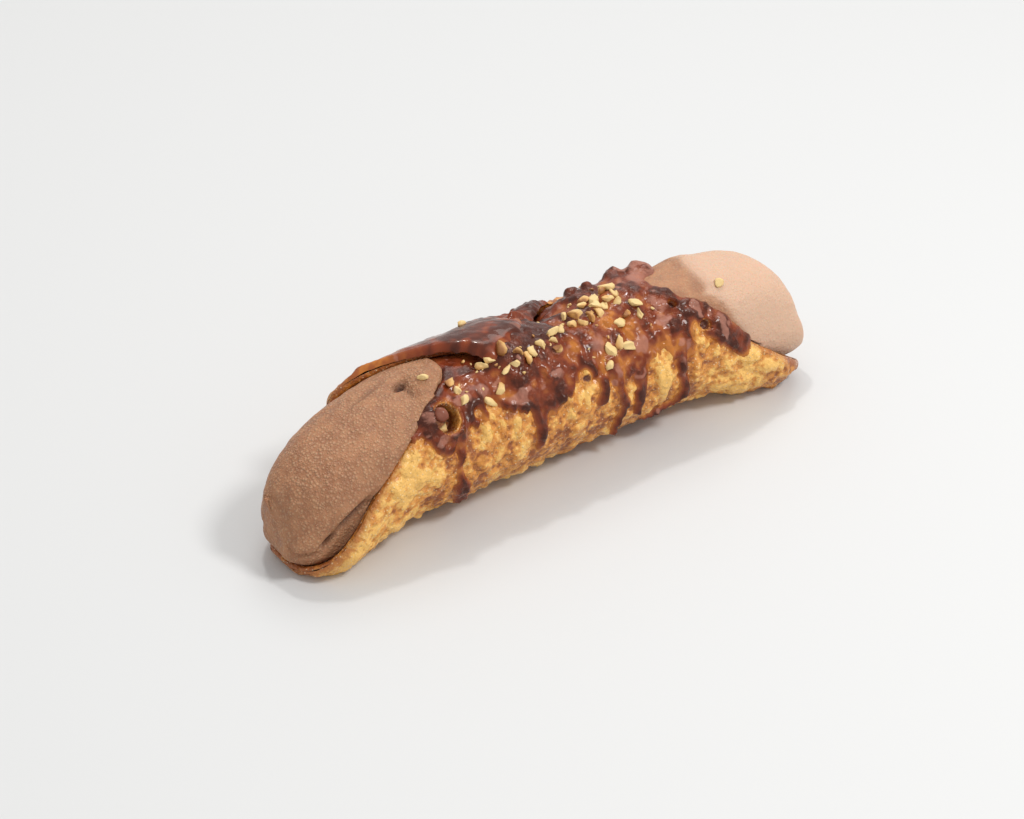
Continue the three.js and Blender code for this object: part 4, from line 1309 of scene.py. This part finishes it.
rows, columns = iceX.shape
iceFaces = gridQuads(rows, columns, closed=True).tolist()
iceFaces += [[j * columns for j in reversed(range(rows))], [j * columns + columns - 1 for j in range(rows)]]
# a paler line along the ridge's crest: painted highlight
ridgeHighlight, *besideLip = pale["lip"]
paleness = pale["least"] + pale["more"] * smooth(pastSmear, *pale["over"])
paleness = paleness + ridgeHighlight * bell(pastSmear, *besideLip)
# fold is painted shade, darker where the forms dent the ice cream
ice = buildPiece("iceCream", icePoints, iceFaces, iceLook, {
    "icy": mix(1, filling["icyRight"], onRight),
    "paleness": onRight * paleness,
    "fold": np.clip(-folds / filling["dentShadeDepth"], 0, 1)})

iceRadius = np.hypot(icePoints[..., 1], icePoints[..., 2] - roll["axisHeight"])
iceSpots = []
for x, angle in nuts["onFilling"]:
    nearest = np.argmin(np.hypot(iceX - x, onArc(icePolar - angle)) + 99 * (isOut < 1))
    iceSpots.append((x, angle, float(iceRadius.flat[nearest])))
iceNutPlaces = nutPlaces(iceSpots, seededDraw(nuts["seed"] + 1))
iceNuts = chipPiece("nutsOnIceCream", iceNutPlaces, chipDraws[1], *ball)

for piece in (shell, glazeSkin, shellNuts, nutCrumbs, blob):
    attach(piece, "root")
    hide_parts("shell")
for piece in (ice, iceNuts):
    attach(piece, "root")
    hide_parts("filling")

print("cannolo: floor, light and camera")

stageSetup = {
    "floor": {"Base Color": colour(211, 211, 210), "Roughness": 0.6, "Specular IOR Level": 0.3},
    "floorHalf": 3,
    "worldTone": (1.0, 1.0, 1.0, 1),
    "worldStrength": 0.66,
    "aim": (0, 0, 0.015),
    "sun": {"towards": (0.45, 0.45, 0.75), "softness": 28, "strength": 0.6},
    "glint": {"place": (0.15, 0.35, 0.75), "size": 0.07, "power": 1.4},
    "front": {"place": (0.30, -0.40, 0.68), "size": 0.2, "power": 3.3},
    "camera": {"place": (-0.36013, -0.47946, 0.42264), "lens": 108.1, "right": (0.80386, -0.59482, 0.0),
               "up": (0.33691, 0.45531, 0.82413), "forward": (0.49021, 0.66248, -0.56641)},
}


def addObject(name, data):
    item = bpy.data.objects.new(name, data)
    bpy.context.scene.collection.objects.link(item)
    return item


floorMesh = bpy.data.meshes.new("floor")
edge = stageSetup["floorHalf"]
corners = [(-edge, -edge, 0), (edge, -edge, 0), (edge, edge, 0), (-edge, edge, 0)]
floorMesh.from_pydata(corners, [], [(0, 1, 2, 3)])
floorMesh.materials.append(startMaterial("paleFloor", stageSetup["floor"])[0])
floor = addObject("floor", floorMesh)

world = bpy.data.worlds.new("softRoom")
world.use_nodes = True
backdrop = world.node_tree.nodes["Background"].inputs
backdrop["Color"].default_value = stageSetup["worldTone"]
backdrop["Strength"].default_value = stageSetup["worldStrength"]
bpy.context.scene.world = world


def addLight(name, kind, place, energy):
    lamp = bpy.data.lights.new(name, kind)
    lamp.energy = energy
    light = addObject(name, lamp)
    light.location = place
    light.rotation_euler = (Vector(stageSetup["aim"]) - Vector(place)).to_track_quat("-Z", "Y").to_euler()
    return lamp


sun = stageSetup["sun"]
addLight("softSun", "SUN", sun["towards"], sun["strength"]).angle = math.radians(sun["softness"])
for name in ("glint", "front"):
    setup = stageSetup[name]
    lamp = addLight(name + "Light", "AREA", setup["place"], setup["power"])
    lamp.shape = "DISK"
    lamp.size = setup["size"]
bpy.context.scene.view_settings.view_transform = "Standard"

view = stageSetup["camera"]
lens = bpy.data.cameras.new("camera")
lens.lens = view["lens"]
lens.sensor_width = 36
lens.clip_start = 0.01
camera = addObject("camera", lens)
right, up, forward = Vector(view["right"]), Vector(view["up"]), Vector(view["forward"])
camera.matrix_world = Matrix.Translation(view["place"]) @ Matrix((right, up, -forward)).transposed().to_4x4()
bpy.context.scene.camera = camera
